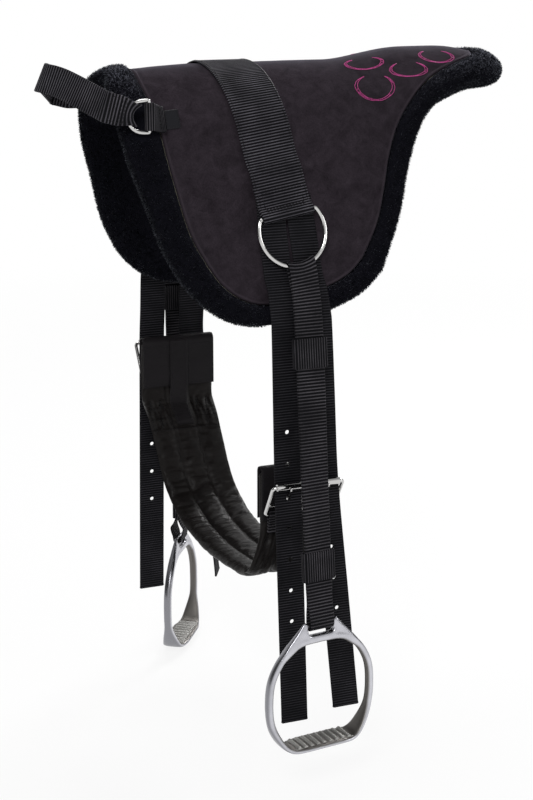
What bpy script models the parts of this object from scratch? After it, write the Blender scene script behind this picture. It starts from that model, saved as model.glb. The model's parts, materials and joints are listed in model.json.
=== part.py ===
"""Bareback riding pad with girth and stirrups, as separate pieces.

Metres. +X points to the horse's tail, -Y to the horse's left, +Z up. The origin is the middle of the
pad's underside on the ridge, where the pad rests on the horse's back.
"""
import math

import bmesh
import bpy
from mathutils import Matrix, Vector

# Fits
GAP = 0.0003            # between pieces that touch
LOOP_GAP = 0.0006       # between a wire and the webbing folded round it
CUT_OVERRUN = 0.002     # how far a cutter runs past what it cuts

# Pad: suede cover, foam core and plush lining with a rolled plush edge
PAD_LENGTH = 0.478
FLAP_DROP = 0.326               # along the surface, ridge to lower edge
SUEDE_THICKNESS = 0.002
FOAM_THICKNESS = 0.008
LINING_THICKNESS = 0.0114
PAD_THICKNESS = SUEDE_THICKNESS + FOAM_THICKNESS + LINING_THICKNESS + 2 * GAP
RIDGE_RADIUS = 0.0925           # of the outer surface, across the horse
FLAP_ANGLE = math.radians(74)   # of the flaps below the horizontal
CANTLE_RISE = 0.012             # ridge at the tail above the ridge at the girth line
CANTLE_SHARES = (0.24, 0.44)    # of the pad's length, where the ridge rises
TAIL_DROOP = 0.0225             # of the ridge's tail end
TAIL_DROOP_SHARE = 0.523
FRONT_DROOP = 0.008             # of the ridge's front end
FRONT_DROOP_SHARE = -0.042
ROLL_PROUD = 0.006              # plush edge above the suede
SEAM_GAP = 0.0010               # between the suede's edge and the plush roll
FOAM_INSET = 0.0015             # foam edge inside the suede's edge
PAD_STEPS_ALONG = 14
PAD_STEPS_ACROSS = 22

# Outer edge of the plush, as shares of the pad's length (from the girth line) and of the flap's drop
FRONT_EDGE_SHARES = [(-0.299, 0.0), (-0.320, 0.155), (-0.308, 0.37), (-0.276, 0.55),
                     (-0.243, 0.72), (-0.203, 0.845)]
LOWER_EDGE_SHARES = [(-0.203, 0.845), (-0.157, 0.925), (-0.090, 0.985), (0.0, 1.0),
                     (0.115, 0.972), (0.209, 0.923), (0.272, 0.853)]
REAR_EDGE_SHARES = [(0.701, 0.0), (0.680, 0.11), (0.630, 0.205), (0.567, 0.247), (0.506, 0.287),
                    (0.444, 0.338), (0.398, 0.42), (0.360, 0.545), (0.330, 0.68), (0.272, 0.853)]
# Seam between the suede and the plush, the same way
FRONT_SEAM_SHARES = [(-0.240, 0.0), (-0.245, 0.155), (-0.226, 0.36), (-0.209, 0.51),
                     (-0.184, 0.68), (-0.151, 0.79)]
LOWER_SEAM_SHARES = [(-0.151, 0.79), (-0.121, 0.858), (-0.073, 0.914), (-0.010, 0.933),
                     (0.115, 0.896), (0.184, 0.856), (0.226, 0.804)]
REAR_SEAM_SHARES = [(0.548, 0.0), (0.545, 0.09), (0.502, 0.172), (0.441, 0.225), (0.383, 0.295),
                    (0.340, 0.375), (0.315, 0.475), (0.297, 0.58), (0.272, 0.69), (0.226, 0.804)]

# Webbing
WEB_THICKNESS = 0.002
WEB_WIDTH = 0.0315
LYING_GAP = 0.0008              # under webbing that lies over the pad's curved top

# Wide band over the pad, folded round a big ring at each end
BAND_WIDTH = 0.060
BAND_X = -0.008                 # of its centre on the ridge
BAND_SWEEP = {"left": 0.029, "right": -0.002}   # of its end behind its middle
BAND_BEND_POWER = 1.2
RING_BAR_DROP = 0.2095          # along the surface, ridge to the ring's bar
BAND_FOLD_LENGTH = 0.035
BAND_STEPS = 18

# Big rings
RING_WIRE_RADIUS = 0.0024
RING_ARC_RADIUS = 0.038
RING_ARC_DROP = 0.019           # of the arc's centre below the bar
RING_ARC_STEPS = 26
RING_STANDOFF = 0.0006          # of the band's inner fold above the billets

# Girth billets: four straps with holes, two on each side
BILLET_TOP_DROP = 0.188         # along the surface
BILLET_SIDE_GAP = 0.0006
BILLET_EASE = 0.0006            # above the plush roll
BILLET_LEAN = {"left": math.radians(2.5), "right": math.radians(0.5)}
BILLET_ROW_SHARES = [0.0, 0.35, 0.61, 0.64, 0.68, 0.72, 0.76, 0.81, 0.90, 1.0]
BILLET_CLIMB_SHARES = (0.63, 0.80)      # of its length on the flap, where it climbs the plush roll
FLAP_EDGE_DROP = 0.322          # along the surface, where the straps leave the flap
HOLE_RADIUS = 0.0026
HOLE_PITCH = 0.036
HOLE_COUNT = 7
LAST_HOLE_TO_END = 0.119
BILLETS = {                     # x at the buckle and at the end, and the end's drop below the ridge
    "left_front": (0.006, 0.010, 0.716),
    "left_rear": (0.050, 0.073, 0.708),
    "right_front": (-0.044, -0.049, 0.667),
    "right_rear": (0.008, 0.040, 0.660),
}
BILLET_TAIL_TWIST = {"right_rear": math.radians(62)}    # of its free end about the vertical
TWIST_START = 0.180             # below the buckle
TWIST_LENGTH = 0.11
BILLET_CENTRE_SHIFT = 0.003     # of the pair from the band's centre

# Girth buckles: a wire frame with a roller, a middle bar with the tongue and a lower bar
BUCKLE_DROP = {"left": 0.441, "right": 0.347}   # of the rollers below the ridge
BUCKLE_INSIDE = 0.0345
BUCKLE_WIRE_RADIUS = 0.002
BUCKLE_UPPER_LENGTH = 0.029     # roller to middle bar
BUCKLE_LOWER_LENGTH = 0.016     # middle bar to lower bar
BUCKLE_CORNER = 0.004
BUCKLE_LEAN = math.radians(35)  # of the frame from the billet
ROLLER_RADIUS = 0.0038
ROLLER_BORE_RADIUS = 0.0024
TONGUE_RADIUS = 0.0013
TONGUE_HOLE_LENGTH = 0.0084
TONGUE_TIP_OVERRUN = 0.003
SLEEVE_SEGMENTS = 14

# Girth: padded nylon body with three channels, bound ends and webbing tabs
GIRTH_WIDTH = 0.090
GIRTH_THICKNESS = 0.011
GIRTH_SEAM_THICKNESS = 0.005
GIRTH_END_RISE = 0.008          # of its end above the rollers
GIRTH_STRAIGHT_END = 0.072
GIRTH_END_SHIFT = {"left": 0.002, "right": -0.005}      # of its end from the middle of its buckles
GIRTH_BOTTOM_DROP = 0.566
GIRTH_HALF_SPAN = 0.158
GIRTH_CHANNELS = 3
GIRTH_COLUMNS_PER_CHANNEL = 4
GIRTH_STEPS = 26
# Between the straight ends, left to right: x of the half width, y of the half span, z of the bottom drop
GIRTH_ROUTE_SHARES = [(0.40, -0.84, 0.953), (0.38, -0.68, 0.982), (0.34, -0.36, 0.993),
                      (0.32, 0.10, 1.0), (0.30, 0.56, 0.985), (0.20, 0.84, 0.933),
                      (0.05, 0.93, 0.855), (-0.20, 0.90, 0.775)]
BINDING_THICKNESS = 0.0012
BINDING_LENGTH = 0.056
TAB_WIDTH = 0.030
TAB_LENGTH = 0.022

# Stirrup straps: closed webbing loops between a big ring and a stirrup, with two keepers
STRAP_EDGE_STANDOFF = 0.0150    # of the strap's centre above the flap's lower edge
STRAP_OVER_BUCKLE = 0.0165      # of the strap's centre outside the billets at the girth buckles
STRAP_LEAN = {"left": math.radians(10), "right": math.radians(10.5)}
EYE_X = {"left": 0.021, "right": 0.015}
EYE_DROP = {"left": 0.583, "right": 0.632}      # of the stirrup's top bar below the ridge
EYE_TWIST = {"left": math.radians(7), "right": math.radians(55)}
EYE_WEB_WIDTH = 0.0295          # webbing drawn in where it passes the stirrup's eye
STRAP_STEPS = 20
STRAP_COLUMNS = 4
KEEPER_LENGTH = 0.032
KEEPER_PLAY = 0.0014
UPPER_KEEPER_DROP = 0.294
LOWER_KEEPER_DROP = {"left": 0.520, "right": 0.583}

# Stirrups: cast aluminium
STIRRUP_WIDTH = 0.135
STIRRUP_HEIGHT = 0.144
STIRRUP_TREAD_WIDTH = 0.088
STIRRUP_TREAD_DEPTH = 0.036
STIRRUP_TREAD_THICKNESS = 0.006
STIRRUP_ARM_THICKNESS = 0.008
STIRRUP_ARM_DEPTH = 0.010
STIRRUP_EYE_WIDTH = 0.0410
STIRRUP_EYE_FOOT = 0.034
STIRRUP_EYE_HEIGHT = 0.019
STIRRUP_SLOT_WIDTH = 0.0315
STIRRUP_SLOT_HEIGHT = 0.0085
STIRRUP_BAR_THICKNESS = 0.006
RIDGE_COUNT = 9
RIDGE_PITCH = 0.0078
RIDGE_HEIGHT = 0.0018
RIDGE_BASE = 0.0050
RIDGE_TOP = 0.0018
STIRRUP_STATIONS = 44

# Front rings, their tabs, the grab handle and the bare label
FRONT_RING_DROP = 0.099         # along the surface
FRONT_RING_BAR_X = -0.1235
FRONT_RING_RADIUS = 0.0165
FRONT_RING_LEG = 0.006          # bar to the arc's centre
FRONT_RING_WIRE_RADIUS = 0.002
FRONT_RING_STANDOFF = 0.0172    # of its bar above the suede
FRONT_TAB_WIDTH = 0.026
FRONT_TAB_LENGTH = 0.020
HANDLE_LOOP_GAP = 0.0012
HANDLE_END_WIDTH = 0.023
HANDLE_REACH = 0.088            # ahead of the front rings' bars
HANDLE_RISE = 0.022             # of its middle above the front rings
HANDLE_ROOT_PITCH = math.radians(16)
HANDLE_TURNBACK = 0.026
HANDLE_STEPS = 22
LABEL_LENGTH = 0.015
LABEL_HEIGHT = 0.021
LABEL_THICKNESS = 0.001
LABEL_SETBACK = 0.0025          # behind the tab

SIDES = {"left": -1.0, "right": 1.0}
FOLD_STEPS = 8
UP = Vector((0.0, 0.0, 1.0))
BACK = Vector((1.0, 0.0, 0.0))


# Scene and materials

def clear_scene():
    for old in list(bpy.data.objects):
        bpy.data.objects.remove(old, do_unlink=True)


def make_material(name, colour, roughness, metallic=0.0):
    material = bpy.data.materials.new(name)
    material.use_nodes = True
    surface = material.node_tree.nodes["Principled BSDF"]
    surface.inputs["Base Color"].default_value = (*colour, 1.0)
    surface.inputs["Roughness"].default_value = roughness
    surface.inputs["Metallic"].default_value = metallic
    return material


def make_materials():
    return {
        "suede": make_material("suede", (0.022, 0.018, 0.021), 0.95),
        "plush": make_material("plush", (0.006, 0.006, 0.008), 1.0),
        "foam": make_material("foam", (0.35, 0.34, 0.30), 0.9),
        "webbing": make_material("webbing", (0.011, 0.010, 0.012), 0.75),
        "nylon": make_material("nylon", (0.014, 0.012, 0.011), 0.6),
        "label": make_material("label", (0.010, 0.010, 0.012), 0.7),
        "chrome": make_material("chrome", (0.62, 0.61, 0.60), 0.12, 1.0),
        "aluminium": make_material("aluminium", (0.52, 0.52, 0.54), 0.28, 1.0),
    }


def add_solid(name, verts, faces, material, parent=None):
    """One closed mesh object; the points are in the parent's own frame."""
    mesh = bpy.data.meshes.new(name)
    mesh.from_pydata([tuple(v) for v in verts], [], faces)
    work = bmesh.new()
    work.from_mesh(mesh)
    bmesh.ops.recalc_face_normals(work, faces=work.faces)
    work.to_mesh(mesh)
    work.free()
    mesh.shade_smooth()
    mesh.set_sharp_from_angle(angle=math.radians(40))
    mesh.materials.append(material)
    piece = bpy.data.objects.new(name, mesh)
    piece.parent = parent
    bpy.context.scene.collection.objects.link(piece)
    return piece


def add_pivot(name, frame):
    """An empty on a joint's axis; frame is its place in the world."""
    pivot = bpy.data.objects.new(name, None)
    pivot.empty_display_size = RING_ARC_RADIUS
    bpy.context.scene.collection.objects.link(pivot)
    pivot.matrix_basis = frame
    pivot["frame"] = [value for row in frame for value in row]
    return pivot


def frame_of(pivot):
    values = list(pivot["frame"])
    return Matrix([values[row * 4:row * 4 + 4] for row in range(4)])


def in_frame(points, pivot):
    """World points in a pivot's own frame."""
    if pivot is None:
        return points
    inverse = frame_of(pivot).inverted()
    return [inverse @ Vector(point) for point in points]


def hide_tool(piece):
    piece.hide_render = True
    piece.display_type = "WIRE"


def combine(piece, tool, operation):
    modifier = piece.modifiers.new(operation.lower(), "BOOLEAN")
    modifier.operation = operation
    modifier.solver = "EXACT"
    modifier.object = tool
    hide_tool(tool)


# Curves and surfaces

def curve(points, steps):
    """Evenly spaced points on a smooth curve through the given ones."""
    knots = [Vector(p) for p in points]
    dense = []
    per_span = 12
    for index in range(len(knots) - 1):
        p1, p2 = knots[index], knots[index + 1]
        p0 = knots[index - 1] if index else p1 * 2 - p2
        p3 = knots[index + 2] if index + 2 < len(knots) else p2 * 2 - p1
        for step in range(per_span):
            t = step / per_span
            dense.append(0.5 * (2 * p1 + (p2 - p0) * t + (2 * p0 - 5 * p1 + 4 * p2 - p3) * t ** 2
                                + (3 * p1 - p0 - 3 * p2 + p3) * t ** 3))
    dense.append(knots[-1])
    lengths = [0.0]
    for a, b in zip(dense, dense[1:]):
        lengths.append(lengths[-1] + (b - a).length)
    result = []
    span = 0
    for step in range(steps + 1):
        target = lengths[-1] * step / steps
        while span < len(dense) - 2 and lengths[span + 1] < target:
            span += 1
        share = (target - lengths[span]) / (lengths[span + 1] - lengths[span])
        result.append(dense[span].lerp(dense[span + 1], share))
    return result


def smooth(value):
    value = max(0.0, min(1.0, value))
    return value * value * (3 - 2 * value)


def ridge_rise(share):
    """Height of the ridge by its place along the pad: level, a rising cantle, drooping ends."""
    rise = CANTLE_RISE * smooth((share - CANTLE_SHARES[0]) / (CANTLE_SHARES[1] - CANTLE_SHARES[0]))
    tail = max(0.0, share - TAIL_DROOP_SHARE) / (REAR_EDGE_SHARES[0][0] - TAIL_DROOP_SHARE)
    front = max(0.0, FRONT_DROOP_SHARE - share) / (FRONT_DROOP_SHARE - FRONT_EDGE_SHARES[0][0])
    return rise - TAIL_DROOP * tail ** 2 - FRONT_DROOP * front ** 2


def on_pad(x, drop, height=0.0):
    """A point over the pad: drop is measured along the surface, negative on the left."""
    side = -1.0 if drop < 0 else 1.0
    turn = min(abs(drop) / RIDGE_RADIUS, FLAP_ANGLE)
    flat = abs(drop) - RIDGE_RADIUS * turn
    y = (RIDGE_RADIUS + height) * math.sin(turn) + flat * math.cos(turn)
    z = (RIDGE_RADIUS + height) * math.cos(turn) - RIDGE_RADIUS - flat * math.sin(turn)
    return Vector((x, side * y, PAD_THICKNESS + ridge_rise(x / PAD_LENGTH) + z))


def out_of_pad(drop):
    turn = min(abs(drop) / RIDGE_RADIUS, FLAP_ANGLE)
    return Vector((0.0, math.copysign(math.sin(turn), drop), math.cos(turn)))


def down_pad(drop):
    turn = min(abs(drop) / RIDGE_RADIUS, FLAP_ANGLE)
    return Vector((0.0, math.copysign(math.cos(turn), drop), -math.sin(turn)))


def grid_faces(rows, columns, start, close_rows=False):
    """Quads of a grid of points numbered row by row."""
    last = rows if close_rows else rows - 1
    faces = []
    for i in range(last):
        for j in range(columns - 1):
            a = start + i * columns + j
            b = start + (i + 1) % rows * columns + j
            faces += [(a, b, b + 1), (a, b + 1, a + 1)]
    return faces


def sheet_points(grid, thickness, loop=False):
    """The two faces of a sheet of even or given thickness round a grid of points."""
    rows = len(grid)
    columns = len(grid[0])
    outer = []
    inner = []
    for i in range(rows):
        before = grid[i - 1] if loop or i else grid[i]
        after = grid[(i + 1) % rows] if loop or i < rows - 1 else grid[i]
        for j in range(columns):
            along = after[j] - before[j]
            across = grid[i][min(j + 1, columns - 1)] - grid[i][max(j - 1, 0)]
            half = thickness[j] / 2 if isinstance(thickness, list) else thickness / 2
            normal = along.cross(across).normalized() * half
            outer.append(grid[i][j] + normal)
            inner.append(grid[i][j] - normal)
    return outer, inner


def add_sheet(name, grid, thickness, material, parent=None, loop=False):
    """A closed solid round a grid of points; loop joins its last row to its first."""
    rows = len(grid)
    columns = len(grid[0])
    outer, inner = sheet_points(grid, thickness, loop)
    count = rows * columns
    faces = grid_faces(rows, columns, 0, loop)
    faces += [tuple(reversed(face)) for face in grid_faces(rows, columns, count, loop)]
    for i in range(rows if loop else rows - 1):
        here = i * columns
        there = (i + 1) % rows * columns
        for j in (0, columns - 1):
            faces.append((here + j, there + j, there + j + count, here + j + count))
    if not loop:
        for here in (0, (rows - 1) * columns):
            for j in range(here, here + columns - 1):
                faces.append((j, j + 1, j + 1 + count, j + count))
    return add_solid(name, in_frame(outer + inner, parent), faces, material, parent)


def strip_rows(centres, across, width, columns=1):
    """Rows of points across a strap; across is one direction or one for each centre."""
    rows = []
    for index, centre in enumerate(centres):
        direction = across[index] if isinstance(across, list) else across
        size = width[index] if isinstance(width, list) else width
        rows.append([centre + direction * size * (j / columns - 0.5) for j in range(columns + 1)])
    return rows


def fold_path(radius, first, last, close_to=None):
    """Path of webbing folded round a wire at the origin, as (away, out) pairs.

    It comes in along the inner side from first, turns round the wire and leaves on the outer side.
    """
    half = close_to if close_to is not None else radius
    path = [(first, -half)]
    if close_to is not None:
        path.append((radius * 4, -half))
        path.append((radius, -radius))
    for step in range(FOLD_STEPS + 1):
        angle = -math.pi / 2 - math.pi * step / FOLD_STEPS
        path.append((radius * math.cos(angle), radius * math.sin(angle)))
    if close_to is not None:
        path.append((radius, radius))
        path.append((radius * 4, half))
    path.append((last, half))
    return path


def tube_points(path, radius, flat_normal, closed, sides=8):
    """Rings of points along a path that lies in one plane."""
    points = []
    count = len(path)
    for i, point in enumerate(path):
        arriving = (point - path[i - 1]).normalized() if closed or i else (path[1] - point).normalized()
        leaving = (path[(i + 1) % count] - point).normalized() if closed or i < count - 1 else arriving
        along = (arriving + leaving).normalized()
        out = flat_normal.cross(along)
        miter = 1.0 / arriving.dot(along)
        for side in range(sides):
            angle = math.tau * side / sides
            points.append(point + (out * miter * math.cos(angle) + flat_normal * math.sin(angle)) * radius)
    return points


def tube_faces(count, sides, closed):
    faces = []
    for i in range(count if closed else count - 1):
        for j in range(sides):
            a = i * sides + j
            b = i * sides + (j + 1) % sides
            c = (i + 1) % count * sides + (j + 1) % sides
            d = (i + 1) % count * sides + j
            faces.append((a, b, c, d))
    if not closed:
        faces.append(tuple(range(sides)))
        faces.append(tuple(range((count - 1) * sides, count * sides)))
    return faces


def add_tube(name, path, radius, flat_normal, closed, material, parent=None, sides=8):
    points = tube_points([Vector(p) for p in path], radius, flat_normal, closed, sides)
    return add_solid(name, points, tube_faces(len(path), sides, closed), material, parent)


def add_sleeve(name, length, outer_radius, inner_radius, material, parent):
    """A hollow roller along its own X axis."""
    points = []
    for radius, x in ((outer_radius, -0.5), (outer_radius, 0.5), (inner_radius, 0.5), (inner_radius, -0.5)):
        for segment in range(SLEEVE_SEGMENTS):
            angle = math.tau * segment / SLEEVE_SEGMENTS
            points.append(Vector((x * length, radius * math.cos(angle), radius * math.sin(angle))))
    faces = []
    for ring in range(4):
        for segment in range(SLEEVE_SEGMENTS):
            after = (segment + 1) % SLEEVE_SEGMENTS
            faces.append((ring * SLEEVE_SEGMENTS + segment, ring * SLEEVE_SEGMENTS + after,
                          (ring + 1) % 4 * SLEEVE_SEGMENTS + after, (ring + 1) % 4 * SLEEVE_SEGMENTS + segment))
    return add_solid(name, points, faces, material, parent)


# Pad

def edge_loop(front_shares, lower_shares, rear_shares):
    """The four sides of one pad outline, each a list of flat (x, drop) points."""
    def flat(shares, side=1.0):
        return [Vector((x * PAD_LENGTH, drop * FLAP_DROP * side, 0.0)) for x, drop in shares]
    half = PAD_STEPS_ACROSS // 2
    over_front = curve(flat(front_shares[::-1], -1.0)[:-1] + flat(front_shares), 2 * half)
    over_rear = curve(flat(rear_shares[::-1], -1.0)[:-1] + flat(rear_shares), 2 * half)
    left = curve(flat(lower_shares, -1.0), PAD_STEPS_ALONG)
    right = curve(flat(lower_shares), PAD_STEPS_ALONG)
    return over_front, over_rear, left, right


def fill_outline(outline):
    """A grid of flat points inside four sides."""
    front, rear, left, right = outline
    grid = []
    for i in range(PAD_STEPS_ALONG + 1):
        u = i / PAD_STEPS_ALONG
        row = []
        for j in range(PAD_STEPS_ACROSS + 1):
            v = j / PAD_STEPS_ACROSS
            corners = (front[0].lerp(front[-1], v)).lerp(rear[0].lerp(rear[-1], v), u)
            row.append(front[j].lerp(rear[j], u) + left[i].lerp(right[i], v) - corners)
        grid.append(row)
    return grid


def walk_round(outline):
    """The closed edge of a filled outline, in the order of grid_edge."""
    front, rear, left, right = outline
    return front[:-1] + right[:-1] + rear[:0:-1] + left[:0:-1]


def grid_edge(start):
    """Numbers of a grid's edge points, all the way round."""
    across = PAD_STEPS_ACROSS + 1
    along = PAD_STEPS_ALONG
    ring = [start + j for j in range(across - 1)]
    ring += [start + i * across + across - 1 for i in range(along)]
    ring += [start + along * across + j for j in range(across - 1, 0, -1)]
    ring += [start + i * across for i in range(along, 0, -1)]
    return ring


def draw_in(grid, distance):
    """The grid with its edge moved inwards: front and rear edges along X, lower edges up the flaps."""
    moved = [[p.copy() for p in row] for row in grid]
    for first, last in zip(moved[0], moved[-1]):
        first.x += distance
        last.x -= distance
    for row in moved:
        row[0].y += distance
        row[-1].y -= distance
    return moved


def place_grid(grid, height):
    return [on_pad(p.x, p.y, height) for row in grid for p in row]


def add_pad_layer(name, grid, top, thickness, material):
    """A sheet that lies under the outer surface by top."""
    count = len(grid) * len(grid[0])
    points = place_grid(grid, -top) + place_grid(grid, -top - thickness)
    faces = grid_faces(len(grid), len(grid[0]), 0)
    faces += [tuple(reversed(f)) for f in grid_faces(len(grid), len(grid[0]), count)]
    ring = grid_edge(0)
    for a, b in zip(ring, ring[1:] + ring[:1]):
        faces.append((a, b, b + count, a + count))
    return add_solid(name, points, faces, material)


# The plush roll's section from the seam to the outer edge: share of the roll's width, share of the
# pad's thickness below the suede; the roll's own height comes on top
ROLL_SECTION_SHARES = [(0.30, -0.9), (0.72, -0.75), (0.96, 0.0), (1.0, 0.45), (0.90, 0.88), (0.5, 1.0)]


def add_lining(seam, edge, material):
    """The plush lining with its rolled edge, one solid."""
    top = SUEDE_THICKNESS + FOAM_THICKNESS + 2 * GAP
    grid = fill_outline(seam)
    rows, columns = len(grid), len(grid[0])
    count = rows * columns
    points = place_grid(grid, -top) + place_grid(grid, -PAD_THICKNESS)
    faces = grid_faces(rows, columns, 0)
    faces += [tuple(reversed(f)) for f in grid_faces(rows, columns, count)]
    inner, outer = walk_round(seam), walk_round(edge)
    rings = [grid_edge(0)]
    for width_share, depth_share in [(0.0, -0.35)] + ROLL_SECTION_SHARES:
        height = -depth_share * (ROLL_PROUD if depth_share < 0 else PAD_THICKNESS)
        rings.append(list(range(len(points), len(points) + len(inner))))
        for a, b in zip(inner, outer):
            flat = a.lerp(b, width_share)
            points.append(on_pad(flat.x, flat.y, height))
    rings.append(grid_edge(count))
    for ring, following in zip(rings, rings[1:]):
        for k in range(len(ring)):
            after = (k + 1) % len(ring)
            faces.append((ring[k], ring[after], following[after], following[k]))
    return add_solid("fleece_lining", points, faces, material)


def build_pad(materials):
    edge = edge_loop(FRONT_EDGE_SHARES, LOWER_EDGE_SHARES, REAR_EDGE_SHARES)
    seam = edge_loop(FRONT_SEAM_SHARES, LOWER_SEAM_SHARES, REAR_SEAM_SHARES)
    grid = fill_outline(seam)
    add_pad_layer("suede_cover", draw_in(grid, SEAM_GAP), 0.0, SUEDE_THICKNESS, materials["suede"])
    add_pad_layer("foam_core", draw_in(grid, FOAM_INSET), SUEDE_THICKNESS + GAP, FOAM_THICKNESS,
                  materials["foam"])
    add_lining(seam, edge, materials["plush"])


# Band and big rings

RING_FOLD_RADIUS = RING_WIRE_RADIUS + LOOP_GAP + WEB_THICKNESS / 2
BILLET_HEIGHT = GAP + WEB_THICKNESS / 2
FOLD_INNER_HEIGHT = BILLET_HEIGHT + WEB_THICKNESS + GAP
RING_BAR_HEIGHT = FOLD_INNER_HEIGHT + RING_STANDOFF + RING_FOLD_RADIUS


def band_x(side, drop):
    return BAND_X + BAND_SWEEP[side] * (abs(drop) / RING_BAR_DROP) ** BAND_BEND_POWER


def band_turn(side, drop):
    """Angle of the band from straight down the flap."""
    rate = BAND_SWEEP[side] * BAND_BEND_POWER / RING_BAR_DROP
    return math.atan(rate * (abs(drop) / RING_BAR_DROP) ** (BAND_BEND_POWER - 1))


def band_height(to_bar):
    """Height of the band's outer layer, by its distance above the ring's bar."""
    lying = LYING_GAP + WEB_THICKNESS / 2
    doubled = FOLD_INNER_HEIGHT + WEB_THICKNESS + GAP
    at_bar = RING_BAR_HEIGHT + RING_FOLD_RADIUS
    ease = RING_FOLD_RADIUS * 3
    if to_bar < BAND_FOLD_LENGTH + ease:
        return doubled + (at_bar - doubled) * (1 - smooth(to_bar / ease))
    return lying + (doubled - lying) * (1 - smooth((to_bar - BAND_FOLD_LENGTH - ease) / ease))


def band_row(side, drop, height):
    turn = band_turn(side, drop)
    x = band_x(side, drop)
    row = []
    for share in (-0.5, 0.0, 0.5):
        offset = share * BAND_WIDTH
        row.append(on_pad(x + offset * math.cos(turn), SIDES[side] * (drop - offset * math.sin(turn)), height))
    return row


def band_half(side):
    """Rows of one half of the band, from its folded end up to the ridge."""
    turn = band_turn(side, RING_BAR_DROP)
    rows = []
    for away, out in fold_path(RING_FOLD_RADIUS, BAND_FOLD_LENGTH, 0.0)[:-1]:
        drop = RING_BAR_DROP - away * math.cos(turn)
        shift = band_x(side, RING_BAR_DROP) - away * math.sin(turn) - band_x(side, drop)
        rows.append([p + BACK * shift for p in band_row(side, drop, RING_BAR_HEIGHT + out)])
    for step in range(1, BAND_STEPS):
        to_bar = RING_BAR_DROP * (step / BAND_STEPS) ** 1.3
        rows.append(band_row(side, RING_BAR_DROP - to_bar, band_height(to_bar)))
    return rows


def build_band(materials):
    middle = [on_pad(BAND_X + share * BAND_WIDTH, 0.0, LYING_GAP + WEB_THICKNESS / 2) for share in (-0.5, 0.0, 0.5)]
    rows = band_half("left") + [middle] + band_half("right")[::-1]
    add_sheet("over_band", rows, WEB_THICKNESS, materials["webbing"])


def ring_frame(side):
    """Frame of a big ring: X along its bar, Y through it, Z up the band; origin on the bar."""
    turn = band_turn(side, RING_BAR_DROP)
    drop = SIDES[side] * RING_BAR_DROP
    down = BACK * math.sin(turn) + down_pad(drop) * math.cos(turn)
    bar = BACK * math.cos(turn) - down_pad(drop) * math.sin(turn)
    frame = Matrix((bar, bar.cross(down), -down)).transposed().to_4x4()
    frame.translation = on_pad(band_x(side, RING_BAR_DROP), drop, RING_BAR_HEIGHT)
    return frame


def ring_path():
    """Centre line of a big ring in its own frame: an arc closed by the straight bar."""
    start = math.acos(RING_ARC_DROP / RING_ARC_RADIUS)
    path = []
    for step in range(RING_ARC_STEPS + 1):
        angle = start + (math.tau - 2 * start) * step / RING_ARC_STEPS
        path.append(Vector((RING_ARC_RADIUS * math.sin(angle), 0.0,
                            -RING_ARC_DROP + RING_ARC_RADIUS * math.cos(angle))))
    return path


def build_big_ring(side, materials):
    pivot = add_pivot("big_ring_pivot_" + side, ring_frame(side))
    add_tube("big_ring_" + side, ring_path(), RING_WIRE_RADIUS, Vector((0, 1, 0)), True,
             materials["chrome"], pivot)
    return pivot


# Billets

def billet_point(x, side, below_ridge):
    """A point on a billet's centre below the flap's edge."""
    edge = on_pad(x, SIDES[side] * FLAP_EDGE_DROP, ROLL_PROUD + BILLET_HEIGHT + BILLET_EASE)
    z = PAD_THICKNESS - below_ridge
    return Vector((x, edge.y + SIDES[side] * (edge.z - z) * math.tan(BILLET_LEAN[side]), z))


def billet_top_x(key):
    side, place = key.split("_")
    offset = (WEB_WIDTH + BILLET_SIDE_GAP) / 2
    return band_x(side, BILLET_TOP_DROP) + BILLET_CENTRE_SHIFT + (offset if place == "rear" else -offset)


def billet_route(key):
    """Centre of a billet from its sewn end under the band to its free end."""
    side = key.split("_")[0]
    x_buckle, x_end, end_drop = BILLETS[key]
    sign = SIDES[side]
    x_top = billet_top_x(key)
    slope_x = (x_buckle - x_top) / (BUCKLE_DROP[side] - BILLET_TOP_DROP)
    top = []
    for share in BILLET_ROW_SHARES:
        drop = BILLET_TOP_DROP + (FLAP_EDGE_DROP - BILLET_TOP_DROP) * share
        climb = smooth((share - BILLET_CLIMB_SHARES[0]) / (BILLET_CLIMB_SHARES[1] - BILLET_CLIMB_SHARES[0]))
        height = BILLET_HEIGHT + (ROLL_PROUD + BILLET_EASE) * climb
        top.append(on_pad(x_top + slope_x * (drop - BILLET_TOP_DROP), sign * drop, height))
    start = top[-1]
    buckle = billet_point(x_buckle, side, BUCKLE_DROP[side])
    end = billet_point(x_end, side, end_drop)
    lower = curve([start.lerp(buckle, 0.5), buckle, buckle.lerp(end, 0.5), end], 12)
    return top + lower


def hole_drops(key):
    side = key.split("_")[0]
    end_drop = BILLETS[key][2]
    lean = math.cos(BILLET_LEAN[side])
    return [end_drop - (LAST_HOLE_TO_END + index * HOLE_PITCH) * lean for index in range(HOLE_COUNT)]


def billet_at(key, below_ridge):
    """Centre of the billet at a depth, on its straight lengths."""
    side = key.split("_")[0]
    route = billet_route(key)
    z = PAD_THICKNESS - below_ridge
    for a, b in zip(route, route[1:]):
        if a.z >= z >= b.z:
            return a.lerp(b, (a.z - z) / (a.z - b.z))
    return billet_point(BILLETS[key][0], side, below_ridge)


def billet_across(key, z):
    """Direction across a billet at a height; the free end of one of them is twisted."""
    side = key.split("_")[0]
    below_buckle = PAD_THICKNESS - BUCKLE_DROP[side] - z - TWIST_START
    turned = BILLET_TAIL_TWIST.get(key, 0.0) * smooth(below_buckle / TWIST_LENGTH)
    return Matrix.Rotation(turned, 3, "Z") @ BACK


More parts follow.
